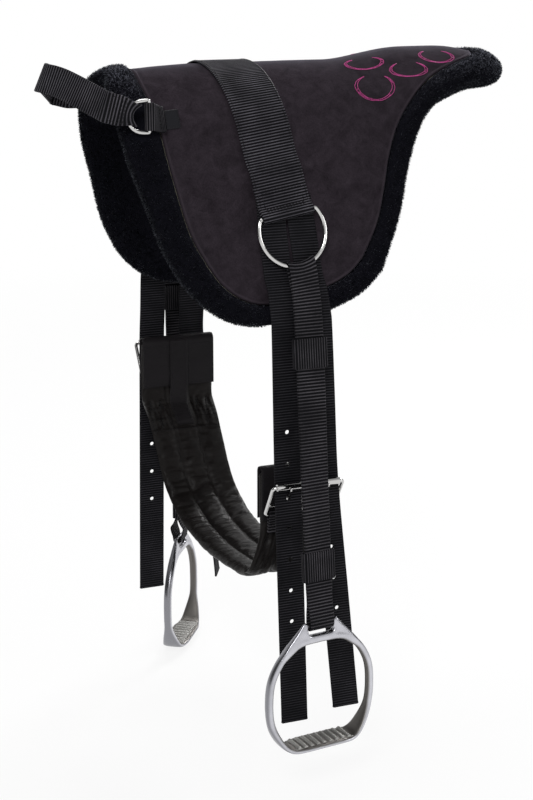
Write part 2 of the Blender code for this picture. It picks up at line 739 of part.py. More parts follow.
def hole_cutters(key):
    """Round cutters for the holes and a longer one where the tongue passes."""
    side = key.split("_")[0]
    frame = buckle_frame(key)
    crossing = frame @ tongue_crossing()
    used = PAD_THICKNESS - crossing.z
    places = [(billet_at(key, drop), 0.0) for drop in hole_drops(key) if abs(drop - used) > HOLE_PITCH / 2]
    places.append((crossing, TONGUE_HOLE_LENGTH / 2 - HOLE_RADIUS))
    points = []
    faces = []
    sides = 8
    out = billet_out(side)
    up = BACK.cross(out) * SIDES[side]
    for centre, stretch in places:
        across = billet_across(key, centre.z)
        out = across.cross(up)
        first = len(points)
        for reach in (-WEB_THICKNESS - CUT_OVERRUN, WEB_THICKNESS + CUT_OVERRUN):
            for step in range(sides):
                angle = math.tau * (step + 0.5) / sides
                lift = math.copysign(stretch, math.sin(angle)) + HOLE_RADIUS * math.sin(angle)
                points.append(centre + out * reach + across * HOLE_RADIUS * math.cos(angle) + up * lift)
        for step in range(sides):
            a, b = first + step, first + (step + 1) % sides
            faces.append((a, b, b + sides, a + sides))
        faces.append(tuple(range(first, first + sides)))
        faces.append(tuple(range(first + sides, first + 2 * sides)))
    return points, faces


def billet_out(side):
    return Vector((0.0, SIDES[side] * math.cos(BILLET_LEAN[side]), math.sin(BILLET_LEAN[side])))


def build_billet(key, materials):
    route = billet_route(key)
    rows = strip_rows(route, [billet_across(key, point.z) for point in route], WEB_WIDTH)
    billet = add_sheet("girth_billet_" + key, rows, WEB_THICKNESS, materials["webbing"])
    points, faces = hole_cutters(key)
    cutter = add_solid("hole_cutter_" + key, points, faces, materials["webbing"])
    combine(billet, cutter, "DIFFERENCE")


# Girth buckles

def buckle_frame(key):
    """Frame of a buckle: X along the roller, Y out of the frame, Z from the middle bar to the roller."""
    side = key.split("_")[0]
    roller = billet_point(BILLETS[key][0], side, BUCKLE_DROP[side])
    out = billet_out(side)
    up = Vector((0.0, -SIDES[side] * math.sin(BILLET_LEAN[side]), math.cos(BILLET_LEAN[side])))
    roller = roller + out * (WEB_THICKNESS / 2 + GAP + ROLLER_RADIUS)
    z_axis = up * math.cos(BUCKLE_LEAN) + out * math.sin(BUCKLE_LEAN)
    y_axis = out * math.cos(BUCKLE_LEAN) - up * math.sin(BUCKLE_LEAN)
    x_axis = y_axis.cross(z_axis)
    frame = Matrix((x_axis, y_axis, z_axis)).transposed().to_4x4()
    frame.translation = roller
    return frame


def rounded_rectangle(half_width, high, low, corner, steps=3):
    """Closed path in the XZ plane, anticlockwise from the upper right corner."""
    path = []
    for cx, cz, start in ((half_width, high, 0), (-half_width, high, 90),
                          (-half_width, low, 180), (half_width, low, 270)):
        centre_x = cx - math.copysign(corner, cx)
        centre_z = cz - corner if cz == high else cz + corner
        for step in range(steps + 1):
            angle = math.radians(start + 90 * step / steps)
            path.append(Vector((centre_x + corner * math.cos(angle), 0.0, centre_z + corner * math.sin(angle))))
    return path


TONGUE_EYE_RADIUS = BUCKLE_WIRE_RADIUS + GAP + TONGUE_RADIUS


def tongue_tip():
    return Vector((0.0, ROLLER_RADIUS + GAP + TONGUE_RADIUS, 0.0))


def tongue_start():
    """Where the tongue's straight length leaves its eye on the middle bar."""
    return Vector((0.0, TONGUE_EYE_RADIUS * 0.3, -BUCKLE_UPPER_LENGTH + TONGUE_EYE_RADIUS))


def tongue_crossing():
    """Where the tongue passes the middle of the billet, in the buckle's frame."""
    billet_y = -(WEB_THICKNESS / 2 + GAP + ROLLER_RADIUS)
    start, tip = tongue_start(), tongue_tip()
    normal = Vector((0.0, math.cos(BUCKLE_LEAN), math.sin(BUCKLE_LEAN)))
    height_start = start.dot(normal) - billet_y
    height_tip = tip.dot(normal) - billet_y
    return start.lerp(tip, height_start / (height_start - height_tip))


def build_buckle(key, materials):
    frame = add_pivot("buckle_frame_place_" + key, buckle_frame(key))
    half = BUCKLE_INSIDE / 2 + BUCKLE_WIRE_RADIUS
    low = -BUCKLE_UPPER_LENGTH - BUCKLE_LOWER_LENGTH
    flat = Vector((0, 1, 0))
    outline = rounded_rectangle(half, 0.0, low, BUCKLE_CORNER)
    body = add_tube("girth_buckle_" + key, outline, BUCKLE_WIRE_RADIUS, flat, True, materials["chrome"], frame)
    bar_ends = [Vector((-half, 0, -BUCKLE_UPPER_LENGTH)), Vector((half, 0, -BUCKLE_UPPER_LENGTH))]
    bar = add_tube("middle_bar_" + key, bar_ends, BUCKLE_WIRE_RADIUS * 0.95, flat, False,
                   materials["chrome"], frame)
    combine(body, bar, "UNION")
    length = 2 * (half - BUCKLE_CORNER) - 2 * GAP
    add_sleeve("buckle_roller_" + key, length, ROLLER_RADIUS, ROLLER_BORE_RADIUS, materials["chrome"], frame)
    build_tongue(key, materials, frame)


def build_tongue(key, materials, frame):
    """A wire tongue: an open eye round the middle bar, then straight up over the roller."""
    centre = Vector((0.0, 0.0, -BUCKLE_UPPER_LENGTH))
    path = []
    for step in range(8):
        angle = math.radians(-235 + 290 * step / 7)
        path.append(centre + Vector((0.0, math.cos(angle), math.sin(angle))) * TONGUE_EYE_RADIUS)
    tip = tongue_tip()
    path.append(tongue_start() + Vector((0.0, 0.0, TONGUE_EYE_RADIUS * 0.6)))
    path.append(tip)
    path.append(tip + Vector((0.0, 0.0, TONGUE_TIP_OVERRUN)))
    add_tube("buckle_tongue_" + key, path, TONGUE_RADIUS, Vector((1, 0, 0)), False, materials["chrome"],
             frame, 6)


# Girth

def girth_end(side):
    """Centre points down a girth end's straight length."""
    keys = [key for key in BILLETS if key.startswith(side)]
    x = sum(BILLETS[key][0] for key in keys) / len(keys) + GIRTH_END_SHIFT[side]
    bar = buckle_frame(keys[0]) @ Vector((0.0, 0.0, -BUCKLE_UPPER_LENGTH - BUCKLE_LOWER_LENGTH))
    fold = BUCKLE_WIRE_RADIUS + LOOP_GAP + WEB_THICKNESS / 2
    behind = fold + WEB_THICKNESS / 2 + 2 * GAP + BINDING_THICKNESS + GIRTH_THICKNESS / 2
    y = bar.y - SIDES[side] * behind
    z = PAD_THICKNESS - BUCKLE_DROP[side] + GIRTH_END_RISE
    return [Vector((x, y, z - GIRTH_STRAIGHT_END * share)) for share in (0.0, 0.35, 0.7, 1.0)]


def girth_route():
    middle = [Vector((x * GIRTH_WIDTH / 2, y * GIRTH_HALF_SPAN, PAD_THICKNESS - z * GIRTH_BOTTOM_DROP))
              for x, y, z in GIRTH_ROUTE_SHARES]
    return curve(girth_end("left") + middle + girth_end("right")[::-1], GIRTH_STEPS)


def channel_thickness(position):
    """Thickness of the padded body; position runs from 0 to 1 across it."""
    within = position * GIRTH_CHANNELS % 1.0
    puff = math.sqrt(max(0.0, 1 - (2 * within - 1) ** 2))
    return GIRTH_SEAM_THICKNESS + (GIRTH_THICKNESS - GIRTH_SEAM_THICKNESS) * puff


def build_girth(materials):
    columns = GIRTH_CHANNELS * GIRTH_COLUMNS_PER_CHANNEL
    rows = strip_rows(girth_route(), BACK, GIRTH_WIDTH, columns)
    thickness = [channel_thickness(j / columns) for j in range(columns + 1)]
    add_sheet("girth_padding", rows, thickness, materials["nylon"])
    for side in SIDES:
        build_binding(side, materials)


def build_binding(side, materials):
    """Nylon binding folded over a girth end, from its outer to its inner face."""
    end = girth_end(side)[0]
    sign = SIDES[side]
    reach = GIRTH_THICKNESS / 2 + GAP + BINDING_THICKNESS / 2
    out = Vector((0.0, sign, 0.0))
    path = [end + out * reach - UP * BINDING_LENGTH * 0.8, end + out * reach]
    for step in range(1, 6):
        angle = math.pi * step / 6
        path.append(end + out * reach * math.cos(angle) + UP * reach * math.sin(angle))
    path += [end - out * reach, end - out * reach - UP * BINDING_LENGTH * 0.8]
    add_sheet("girth_end_binding_" + side, strip_rows(path, BACK, GIRTH_WIDTH), BINDING_THICKNESS,
              materials["nylon"])


def build_tab(key, materials):
    """Webbing tab sewn to the girth end and folded over a buckle's lower bar."""
    side = key.split("_")[0]
    sign = SIDES[side]
    fold = BUCKLE_WIRE_RADIUS + LOOP_GAP + WEB_THICKNESS / 2
    bar = buckle_frame(key) @ Vector((0.0, 0.0, -BUCKLE_UPPER_LENGTH - BUCKLE_LOWER_LENGTH))
    settled = fold - WEB_THICKNESS - GAP
    path = [bar - Vector((0, sign * fold, 0)) - UP * TAB_LENGTH]
    for step in range(FOLD_STEPS + 1):
        angle = math.pi * step / FOLD_STEPS
        path.append(bar + Vector((0, -sign * fold * math.cos(angle), 0)) + UP * fold * math.sin(angle))
    path.append(bar - Vector((0, sign * settled * 0.2, 0)) - UP * fold * 3)
    path.append(bar - Vector((0, sign * settled, 0)) - UP * fold * 5)
    path.append(bar - Vector((0, sign * settled, 0)) - UP * TAB_LENGTH)
    add_sheet("girth_tab_" + key, strip_rows(path, BACK, TAB_WIDTH), WEB_THICKNESS, materials["webbing"])


# Stirrup straps

STRAP_HALF = WEB_THICKNESS / 2 + GAP


def strap_route(side):
    """Centre of a stirrup strap from the big ring's lowest point to the stirrup's top bar."""
    sign = SIDES[side]
    ring = ring_frame(side) @ Vector((0.0, 0.0, -RING_ARC_DROP - RING_ARC_RADIUS))
    eye_z = PAD_THICKNESS - EYE_DROP[side]
    edge = on_pad(ring.x, sign * FLAP_EDGE_DROP, STRAP_EDGE_STANDOFF)
    over = billet_point(ring.x, side, BUCKLE_DROP[side])
    straight = abs(edge.y) + (edge.z - over.z) * math.tan(STRAP_LEAN[side])
    over.y = sign * max(abs(over.y) + STRAP_OVER_BUCKLE, straight)
    eye = Vector((EYE_X[side], edge.y + sign * (edge.z - eye_z) * math.tan(STRAP_LEAN[side]), eye_z))
    for point in (edge, over):
        point.x += (eye.x - ring.x) * (ring.z - point.z) / (ring.z - eye.z)
    return curve([ring, edge, over, over.lerp(eye, 0.5), eye], STRAP_STEPS)


def strap_station(side, share):
    """Centre, down, across and out of a strap at a share of its length."""
    route = strap_route(side)
    place = share * STRAP_STEPS
    index = min(int(place), STRAP_STEPS - 1)
    centre = route[index].lerp(route[index + 1], place - index)
    down = (route[index + 1] - route[index]).normalized()
    if share == 0:
        down = -(ring_frame(side).to_3x3() @ UP)
    twist_share = smooth((share - 0.25) / 0.45)
    start_across = ring_frame(side).to_3x3() @ BACK
    lying = smooth(share / 0.15)
    across = start_across.lerp(BACK, lying)
    turn = Matrix.Rotation(EYE_TWIST[side] * twist_share, 3, UP)
    across = (turn @ across).normalized()
    out = across.cross(down).normalized() * SIDES[side]
    if out.y * SIDES[side] < 0:
        out = -out
    return centre, down, across, out


def strap_depth_share(side, below_ridge):
    route = strap_route(side)
    z = PAD_THICKNESS - below_ridge
    for index, (a, b) in enumerate(zip(route, route[1:])):
        if a.z >= z >= b.z:
            return (index + (a.z - z) / (a.z - b.z)) / STRAP_STEPS
    return 0.5


EYE_BAR_RADIUS = STIRRUP_BAR_THICKNESS / 2
EYE_FOLD_RADIUS = EYE_BAR_RADIUS + LOOP_GAP + WEB_THICKNESS / 2


def strap_length(side):
    route = strap_route(side)
    return sum((b - a).length for a, b in zip(route, route[1:]))


def strap_half(side, share):
    """Half the distance between the two runs of a strap."""
    length = strap_length(side)
    top = 1 - smooth((share * length - RING_WIRE_RADIUS * 2) / 0.022)
    bottom = 1 - smooth(((1 - share) * length - EYE_BAR_RADIUS) / 0.022)
    return STRAP_HALF + (RING_FOLD_RADIUS - STRAP_HALF) * top + (EYE_FOLD_RADIUS - STRAP_HALF) * bottom


def strap_width(share):
    return WEB_WIDTH + (EYE_WEB_WIDTH - WEB_WIDTH) * smooth((share - 0.86) / 0.12)


def strap_row(side, share, turn=None):
    """One row across a strap: on its outer run, its inner run, or on the fold at an end."""
    centre, down, across, out = strap_station(side, share)
    half = strap_half(side, share)
    width = strap_width(share)
    length = strap_length(side)
    row = []
    for column in range(STRAP_COLUMNS + 1):
        offset = width * (column / STRAP_COLUMNS - 0.5)
        sag = RING_ARC_RADIUS - math.sqrt(RING_ARC_RADIUS ** 2 - offset ** 2)
        sag *= 1 - smooth(share * length / 0.03)
        point = centre + across * offset - down * sag
        row.append(point + out * half * math.cos(turn) - down * half * math.sin(turn))
    return row


def strap_rows(side):
    """The closed loop: down the outer run, round the stirrup's bar, up the inner run, over the ring."""
    shares = [0.012, 0.03, 0.06, 0.10] + [0.10 + 0.74 * k / 9 for k in range(1, 10)]
    shares += [0.90, 0.945, 0.975]
    rows = [strap_row(side, share, 0.0) for share in shares]
    rows += [strap_row(side, 1.0, -math.pi * k / FOLD_STEPS) for k in range(FOLD_STEPS + 1)]
    rows += [strap_row(side, share, math.pi) for share in reversed(shares)]
    rows += [strap_row(side, 0.0, math.pi - math.pi * k / FOLD_STEPS) for k in range(FOLD_STEPS + 1)]
    return rows


def build_strap(side, materials, ring_pivot):
    frame = ring_frame(side).copy()
    frame.translation = ring_frame(side) @ Vector((0.0, 0.0, -RING_ARC_DROP))
    pivot = add_pivot("strap_pivot_" + side, frame)
    add_sheet("stirrup_strap_" + side, strap_rows(side), WEB_THICKNESS, materials["webbing"], pivot, True)
    upper = strap_depth_share(side, UPPER_KEEPER_DROP)
    lower = strap_depth_share(side, LOWER_KEEPER_DROP[side])
    build_keeper("upper_keeper_" + side, side, upper, materials, pivot)
    build_keeper("lower_keeper_" + side, side, lower, materials, pivot)
    return pivot


def build_keeper(name, side, share, materials, parent):
    """A short webbing sleeve round both runs."""
    centre, down, across, out = strap_station(side, share)
    half_x = WEB_WIDTH / 2 + KEEPER_PLAY + WEB_THICKNESS / 2
    half_y = STRAP_HALF + WEB_THICKNESS + GAP + KEEPER_PLAY / 2
    corner = WEB_THICKNESS
    grid = []
    for point in rounded_rectangle(half_x, half_y, -half_y, corner, 2):
        base = centre + across * point.x + out * point.z
        grid.append([base + down * KEEPER_LENGTH * end for end in (-0.5, 0.5)])
    add_sheet(name, grid, WEB_THICKNESS, materials["webbing"], parent, True)


# Stirrups

def stirrup_frame(side):
    """Frame of a stirrup: X across it, Y through it, Z up; origin in its top bar."""
    route = strap_route(side)
    frame = Matrix.Rotation(EYE_TWIST[side], 4, "Z")
    frame.translation = route[-1]
    return frame


def stirrup_stations():
    """Centre line and section of the bow and the tread, once round: point, half thickness, half depth."""
    half = STIRRUP_WIDTH / 2 - STIRRUP_ARM_THICKNESS / 2
    tread = STIRRUP_TREAD_WIDTH / 2
    floor = -STIRRUP_HEIGHT + STIRRUP_BAR_THICKNESS / 2 + STIRRUP_TREAD_THICKNESS / 2
    top = -STIRRUP_EYE_HEIGHT + STIRRUP_ARM_THICKNESS * 0.4
    rise = top - floor
    side = [(0.0, 0.0), (0.5 * tread, 0.0), (0.86 * tread, 0.0), (1.12 * tread, 0.07 * rise),
            (0.955 * half, 0.25 * rise), (half, 0.46 * rise), (0.93 * half, 0.66 * rise),
            (0.70 * half, 0.83 * rise), (0.36 * half, 0.955 * rise), (0.0, rise)]
    points = [Vector((x, 0.0, floor + z)) for x, z in side]
    right = curve(points, STIRRUP_STATIONS // 2)
    left = [Vector((-p.x, 0.0, p.z)) for p in reversed(right[1:-1])]
    stations = []
    for point in right + left:
        up = (point.z - floor) / rise
        widen = (1 - smooth(up / 0.55)) ** 1.3
        depth = STIRRUP_ARM_DEPTH + (STIRRUP_TREAD_DEPTH - STIRRUP_ARM_DEPTH) * widen
        thick = STIRRUP_TREAD_THICKNESS + (STIRRUP_ARM_THICKNESS - STIRRUP_TREAD_THICKNESS) * smooth(up / 0.3)
        stations.append((point, thick / 2, depth / 2))
    return stations


def build_stirrup(side, materials):
    pivot = add_pivot("stirrup_pivot_" + side, stirrup_frame(side))
    stations = stirrup_stations()
    sides = 10
    points = []
    for index, (point, thick, depth) in enumerate(stations):
        before, after = stations[index - 1][0], stations[(index + 1) % len(stations)][0]
        along = (after - before).normalized()
        out = Vector((along.z, 0.0, -along.x))
        for step in range(sides):
            angle = math.tau * (step + 0.5) / sides
            c, s = math.cos(angle), math.sin(angle)
            square = (abs(c) ** 4 + abs(s) ** 4) ** -0.25
            points.append(point + out * thick * c * square + Vector((0.0, depth * s * square, 0.0)))
    bow = add_solid("stirrup_" + side, points, tube_faces(len(stations), sides, True), materials["aluminium"],
                    pivot)
    combine(bow, stirrup_eye(side, materials, pivot), "UNION")
    combine(bow, tread_ridges(side, materials, pivot), "UNION")


def stirrup_eye(side, materials, pivot):
    """The slotted eye above the bow; its top bar is where the strap's loop sits."""
    bar = EYE_BAR_RADIUS * 0.8
    top = bar
    low = -STIRRUP_EYE_HEIGHT
    slot_top = -bar
    slot_low = slot_top - STIRRUP_SLOT_HEIGHT
    wide, foot, slot = STIRRUP_EYE_WIDTH / 2, STIRRUP_EYE_FOOT / 2, STIRRUP_SLOT_WIDTH / 2
    chamfer = EYE_BAR_RADIUS * 0.6
    outer = [(-wide + chamfer, top), (wide - chamfer, top), (wide, top - chamfer), (wide, slot_low),
             (foot, low), (-foot, low), (-wide, slot_low), (-wide, top - chamfer)]
    inner = [(-slot, slot_top), (slot, slot_top), (slot, slot_top), (slot, slot_low),
             (slot * 0.8, slot_low), (-slot * 0.8, slot_low), (-slot, slot_low), (-slot, slot_top)]
    inner[2] = (slot, slot_top - chamfer)
    inner[7] = (-slot, slot_top - chamfer)
    inner[3] = (slot, slot_low + chamfer)
    inner[6] = (-slot, slot_low + chamfer)
    depth = STIRRUP_ARM_DEPTH / 2 * 0.9
    points = []
    for ring, ease in ((outer, 0.75), (inner, 1.0)):
        for x, z in ring:
            reach = EYE_BAR_RADIUS * 0.6 if z > slot_low + chamfer * 1.5 else depth * ease
            points += [Vector((x, -reach, z)), Vector((x, reach, z))]
    count = len(outer)
    faces = []
    for k in range(count):
        after = (k + 1) % count
        o, p = 2 * k, 2 * after
        i, j = o + 2 * count, p + 2 * count
        faces += [(o, p, p + 1, o + 1), (i, j, j + 1, i + 1), (o, p, j, i), (o + 1, p + 1, j + 1, i + 1)]
    return add_solid("stirrup_eye_" + side, points, faces, materials["aluminium"], pivot)


def tread_ridges(side, materials, pivot):
    """Grip ridges across the tread, on one strip sunk into it."""
    floor = -STIRRUP_HEIGHT + STIRRUP_BAR_THICKNESS / 2 + STIRRUP_TREAD_THICKNESS / 2
    face = floor + STIRRUP_TREAD_THICKNESS / 2
    sunk = floor
    depth = STIRRUP_TREAD_DEPTH * 0.36
    ends = (RIDGE_COUNT - 1) / 2 * RIDGE_PITCH + RIDGE_BASE
    profile = [(-ends, sunk), (-ends, face - RIDGE_HEIGHT / 3)]
    for k in range(RIDGE_COUNT):
        x = (k - (RIDGE_COUNT - 1) / 2) * RIDGE_PITCH
        profile += [(x - RIDGE_BASE / 2, face - RIDGE_HEIGHT / 3), (x - RIDGE_TOP / 2, face + RIDGE_HEIGHT),
                    (x + RIDGE_TOP / 2, face + RIDGE_HEIGHT), (x + RIDGE_BASE / 2, face - RIDGE_HEIGHT / 3)]
    profile += [(ends, face - RIDGE_HEIGHT / 3), (ends, sunk)]
    points = [Vector((x, y, z)) for y in (-depth, depth) for x, z in profile]
    count = len(profile)
    faces = [tuple(range(count)), tuple(range(2 * count - 1, count - 1, -1))]
    faces += [(k, (k + 1) % count, (k + 1) % count + count, k + count) for k in range(count)]
    return add_solid("tread_ridges_" + side, points, faces, materials["aluminium"], pivot)


# Front rings, tabs, label and grab handle

def front_ring_frame(side):
    """Frame of a front ring, with the part's own axes and its origin in the ring's arc's centre."""
    bar = on_pad(FRONT_RING_BAR_X, SIDES[side] * FRONT_RING_DROP, FRONT_RING_STANDOFF)
    return Matrix.Translation(bar - BACK * FRONT_RING_LEG)


def front_ring_path():
    path = [Vector((FRONT_RING_LEG, 0.0, FRONT_RING_RADIUS))]
    for step in range(13):
        angle = math.pi / 2 + math.pi * step / 12
        path.append(Vector((math.cos(angle), 0.0, math.sin(angle))) * FRONT_RING_RADIUS)
    path.append(Vector((FRONT_RING_LEG, 0.0, -FRONT_RING_RADIUS)))
    return path


def build_front_ring(side, materials):
    place = add_pivot("front_ring_place_" + side, front_ring_frame(side))
    add_tube("front_ring_" + side, front_ring_path(), FRONT_RING_WIRE_RADIUS, Vector((0, 1, 0)), True,
             materials["chrome"], place)
    build_front_tab(side, materials)
    if side == "left":
        build_label(side, materials)


def build_front_tab(side, materials):
    """Webbing tab sewn on the cover's front edge and folded round a front ring's bar."""
    sign = SIDES[side]
    frame = front_ring_frame(side)
    bar = frame @ Vector((FRONT_RING_LEG, 0.0, 0.0))
    ring_up = frame.to_3x3() @ UP
    ring_out = frame.to_3x3() @ Vector((0, sign, 0))
    fold = FRONT_RING_WIRE_RADIUS + LOOP_GAP + WEB_THICKNESS / 2
    pad_up = -down_pad(sign * FRONT_RING_DROP)
    pad_out = out_of_pad(sign * FRONT_RING_DROP)
    end_x = bar.x + FRONT_TAB_LENGTH
    lying = on_pad(end_x, sign * FRONT_RING_DROP, GAP + WEB_THICKNESS / 2)
    doubled = lying + pad_out * (WEB_THICKNESS + GAP)
    inner_start = bar - ring_out * fold
    outer_start = bar + ring_out * fold
    centres = [lying, lying.lerp(inner_start, 0.4), inner_start + BACK * fold]
    ups = [pad_up, pad_up.lerp(ring_up, 0.4), ring_up]
    for step in range(FOLD_STEPS + 1):
        angle = math.pi * step / FOLD_STEPS
        centres.append(bar - ring_out * fold * math.cos(angle) - BACK * fold * math.sin(angle))
        ups.append(ring_up)
    centres += [outer_start + BACK * fold, doubled.lerp(outer_start, 0.4), doubled]
    ups += [ring_up, pad_up.lerp(ring_up, 0.4), pad_up]
    rows = strip_rows(centres, [up.normalized() for up in ups], FRONT_TAB_WIDTH)
    add_sheet("front_ring_tab_" + side, rows, WEB_THICKNESS, materials["webbing"])


def build_label(side, materials):
    """A bare woven label on the suede behind the tab."""
    sign = SIDES[side]
    start = FRONT_RING_BAR_X + FRONT_TAB_LENGTH + LABEL_SETBACK
    rows = []
    for x in (start, start + LABEL_LENGTH):
        rows.append([on_pad(x, sign * (FRONT_RING_DROP + LABEL_HEIGHT * share), GAP + LABEL_THICKNESS / 2)
                     for share in (-0.5, -0.25, 0.0, 0.25, 0.5)])
    add_sheet("front_label", rows, LABEL_THICKNESS, materials["label"])


def handle_end_rows(side):
    """Rows of the handle's folded end round a front ring, from its sewn end to the outer layer."""
    sign = SIDES[side]
    frame = front_ring_frame(side)
    turned = frame @ Matrix.Rotation(HANDLE_ROOT_PITCH, 4, "Y")
    fold = FRONT_RING_WIRE_RADIUS + HANDLE_LOOP_GAP + WEB_THICKNESS / 2
    settled = WEB_THICKNESS + GAP
    rows = [handle_row(turned, HANDLE_TURNBACK, sign * (fold - settled), 0.0),
            handle_row(turned, HANDLE_TURNBACK * 0.7, sign * (fold - settled), 0.1),
            handle_row(turned, HANDLE_TURNBACK * 0.35, -sign * fold * 0.7, 0.5)]
    for step in range(FOLD_STEPS + 1):
        angle = math.pi * step / FOLD_STEPS
        rows.append(handle_row(turned, -fold * math.sin(angle), -sign * fold * math.cos(angle), 1.0))
    rows.append(handle_row(turned, HANDLE_TURNBACK * 0.35, sign * fold, 0.5))
    rows.append(handle_row(turned, HANDLE_TURNBACK * 0.7, sign * fold, 0.1))
    rows.append(handle_row(turned, HANDLE_TURNBACK, sign * fold, 0.0))
    return rows


def handle_row(turned, away, out, hold):
    """A row across the handle near a front ring; hold is how far it follows the ring's curve."""
    width = HANDLE_END_WIDTH + (WEB_WIDTH - HANDLE_END_WIDTH) * (1 - hold)
    radius = FRONT_RING_RADIUS + min(away, 0.0)
    row = []
    for share in (-0.5, -0.25, 0.0, 0.25, 0.5):
        curved = math.sqrt(radius ** 2 - (HANDLE_END_WIDTH * share) ** 2)
        reach = radius + (curved - radius) * hold + max(away, 0.0)
        row.append(turned @ Vector((-reach, out, width * share)))
    return row


def build_handle(materials):
    """Grab handle: one webbing strap from ring to ring, its ends folded back and sewn."""
    left = handle_end_rows("left")
    right = handle_end_rows("right")[::-1]
    start, finish = left[-1], right[0]
    reach_x = FRONT_RING_BAR_X - HANDLE_REACH
    top_z = front_ring_frame("left").translation.z + HANDLE_RISE
    middle = Vector((reach_x, 0.0, top_z))
    centre_start, centre_finish = start[2], finish[2]
    knee_x = middle.x + HANDLE_REACH * 0.16
    knee = 0.17 * (centre_finish.y - centre_start.y)
    path = curve([centre_start, Vector((knee_x, -knee, top_z - HANDLE_RISE * 0.12)), middle,
                  Vector((knee_x, knee, top_z - HANDLE_RISE * 0.12)), centre_finish], HANDLE_STEPS)
    start_across = (start[4] - start[0]).normalized()
    finish_across = (finish[4] - finish[0]).normalized()
    rows = []
    for index in range(1, HANDLE_STEPS):
        share = index / HANDLE_STEPS
        blend_start = 1 - smooth(share / 0.3)
        blend_finish = 1 - smooth((1 - share) / 0.3)
        across = start_across * blend_start + finish_across * blend_finish
        across += UP * (1 - blend_start - blend_finish)
        along = (path[index + 1] - path[index - 1]).normalized()
        across = (across - along * across.dot(along)).normalized()
        rows.append([path[index] + across * WEB_WIDTH * share_across
                     for share_across in (-0.5, -0.25, 0.0, 0.25, 0.5)])
    axis = Matrix.Identity(4)
    axis.translation = Vector((front_ring_frame("left").translation.x, 0.0,
                               front_ring_frame("left").translation.z))
    pivot = add_pivot("handle_pivot", axis)
    add_sheet("grab_handle", left + rows + right, WEB_THICKNESS, materials["webbing"], pivot)


def main():
    clear_scene()
    materials = make_materials()
    build_pad(materials)
    build_band(materials)
    for key in BILLETS:
        build_billet(key, materials)
        build_buckle(key, materials)
        build_tab(key, materials)
    build_girth(materials)
    for side in SIDES:
        ring_pivot = build_big_ring(side, materials)
        build_strap(side, materials, ring_pivot)
        build_stirrup(side, materials)
        build_front_ring(side, materials)
    build_handle(materials)


main()
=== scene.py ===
"""Bareback riding pad with girth and stirrups, dressed for the render.

Metres, in the part's own frame: +X points to the horse's tail, -Y to the horse's left, +Z up. The measured
routes of the pieces repeat the part's own source; the visible surfaces are built here over them.
"""
import json
import math

import bmesh
import bpy
import numpy as np
from mathutils import Matrix, Vector, kdtree, noise

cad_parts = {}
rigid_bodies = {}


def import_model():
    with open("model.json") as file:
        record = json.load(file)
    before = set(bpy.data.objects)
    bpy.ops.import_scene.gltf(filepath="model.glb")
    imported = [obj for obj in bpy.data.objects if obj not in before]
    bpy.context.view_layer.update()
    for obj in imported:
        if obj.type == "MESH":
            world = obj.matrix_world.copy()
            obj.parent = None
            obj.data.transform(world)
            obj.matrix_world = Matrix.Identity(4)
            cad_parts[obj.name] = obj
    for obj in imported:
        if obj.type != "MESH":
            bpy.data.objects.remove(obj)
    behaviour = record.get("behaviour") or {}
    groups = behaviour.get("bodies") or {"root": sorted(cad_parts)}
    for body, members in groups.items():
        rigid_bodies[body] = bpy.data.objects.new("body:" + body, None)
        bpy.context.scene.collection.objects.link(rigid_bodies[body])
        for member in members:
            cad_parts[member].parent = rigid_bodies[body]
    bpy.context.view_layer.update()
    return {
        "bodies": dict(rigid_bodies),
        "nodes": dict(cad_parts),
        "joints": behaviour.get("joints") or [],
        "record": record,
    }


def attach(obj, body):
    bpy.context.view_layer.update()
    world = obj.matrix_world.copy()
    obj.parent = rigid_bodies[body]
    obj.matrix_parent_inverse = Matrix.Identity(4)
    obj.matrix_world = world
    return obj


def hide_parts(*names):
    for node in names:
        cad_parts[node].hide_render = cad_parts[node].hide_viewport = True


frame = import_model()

# Fits
GAP = 0.0003  # between pieces that touch
LOOP_GAP = 0.0006  # between a wire and the webbing folded round it

# Pad: suede cover, foam core and plush lining with a rolled plush edge
PAD_LENGTH = 0.478
FLAP_DROP = 0.326  # along the surface, ridge to lower edge
SUEDE_THICKNESS = 0.002
FOAM_THICKNESS = 0.008
LINING_THICKNESS = 0.0114
PAD_THICKNESS = SUEDE_THICKNESS + FOAM_THICKNESS + LINING_THICKNESS + 2 * GAP
RIDGE_RADIUS = 0.0925  # of the outer surface, across the horse
FLAP_ANGLE = math.radians(74)  # of the flaps below the horizontal
CANTLE_RISE = 0.012  # ridge at the tail above the ridge at the girth line
CANTLE_SHARES = (0.24, 0.44)  # of the pad's length, where the ridge rises
TAIL_DROOP = 0.0225  # of the ridge's tail end
TAIL_DROOP_SHARE = 0.523
FRONT_DROOP = 0.008  # of the ridge's front end
FRONT_DROOP_SHARE = -0.042
ROLL_WIDTH = 0.04  # of the plush roll, while its section is drawn
ROLL_PROUD = 0.006  # plush edge above the suede
SEAM_GAP = 0.0010  # between the suede's edge and the plush roll
FOAM_INSET = 0.0015  # foam edge inside the suede's edge

# Outer edge of the plush, as shares of the pad's length (from the girth line) and of the flap's drop
FRONT_EDGE_SHARES = [(-0.299, 0.0), (-0.320, 0.155), (-0.308, 0.37), (-0.276, 0.55),
                     (-0.243, 0.72), (-0.203, 0.845)]
LOWER_EDGE_SHARES = [(-0.203, 0.845), (-0.157, 0.925), (-0.090, 0.985), (0.0, 1.0),
                     (0.115, 0.972), (0.209, 0.923), (0.272, 0.853)]
REAR_EDGE_SHARES = [(0.701, 0.0), (0.680, 0.11), (0.630, 0.205), (0.567, 0.247), (0.506, 0.287),
                    (0.444, 0.338), (0.398, 0.42), (0.360, 0.545), (0.330, 0.68), (0.272, 0.853)]
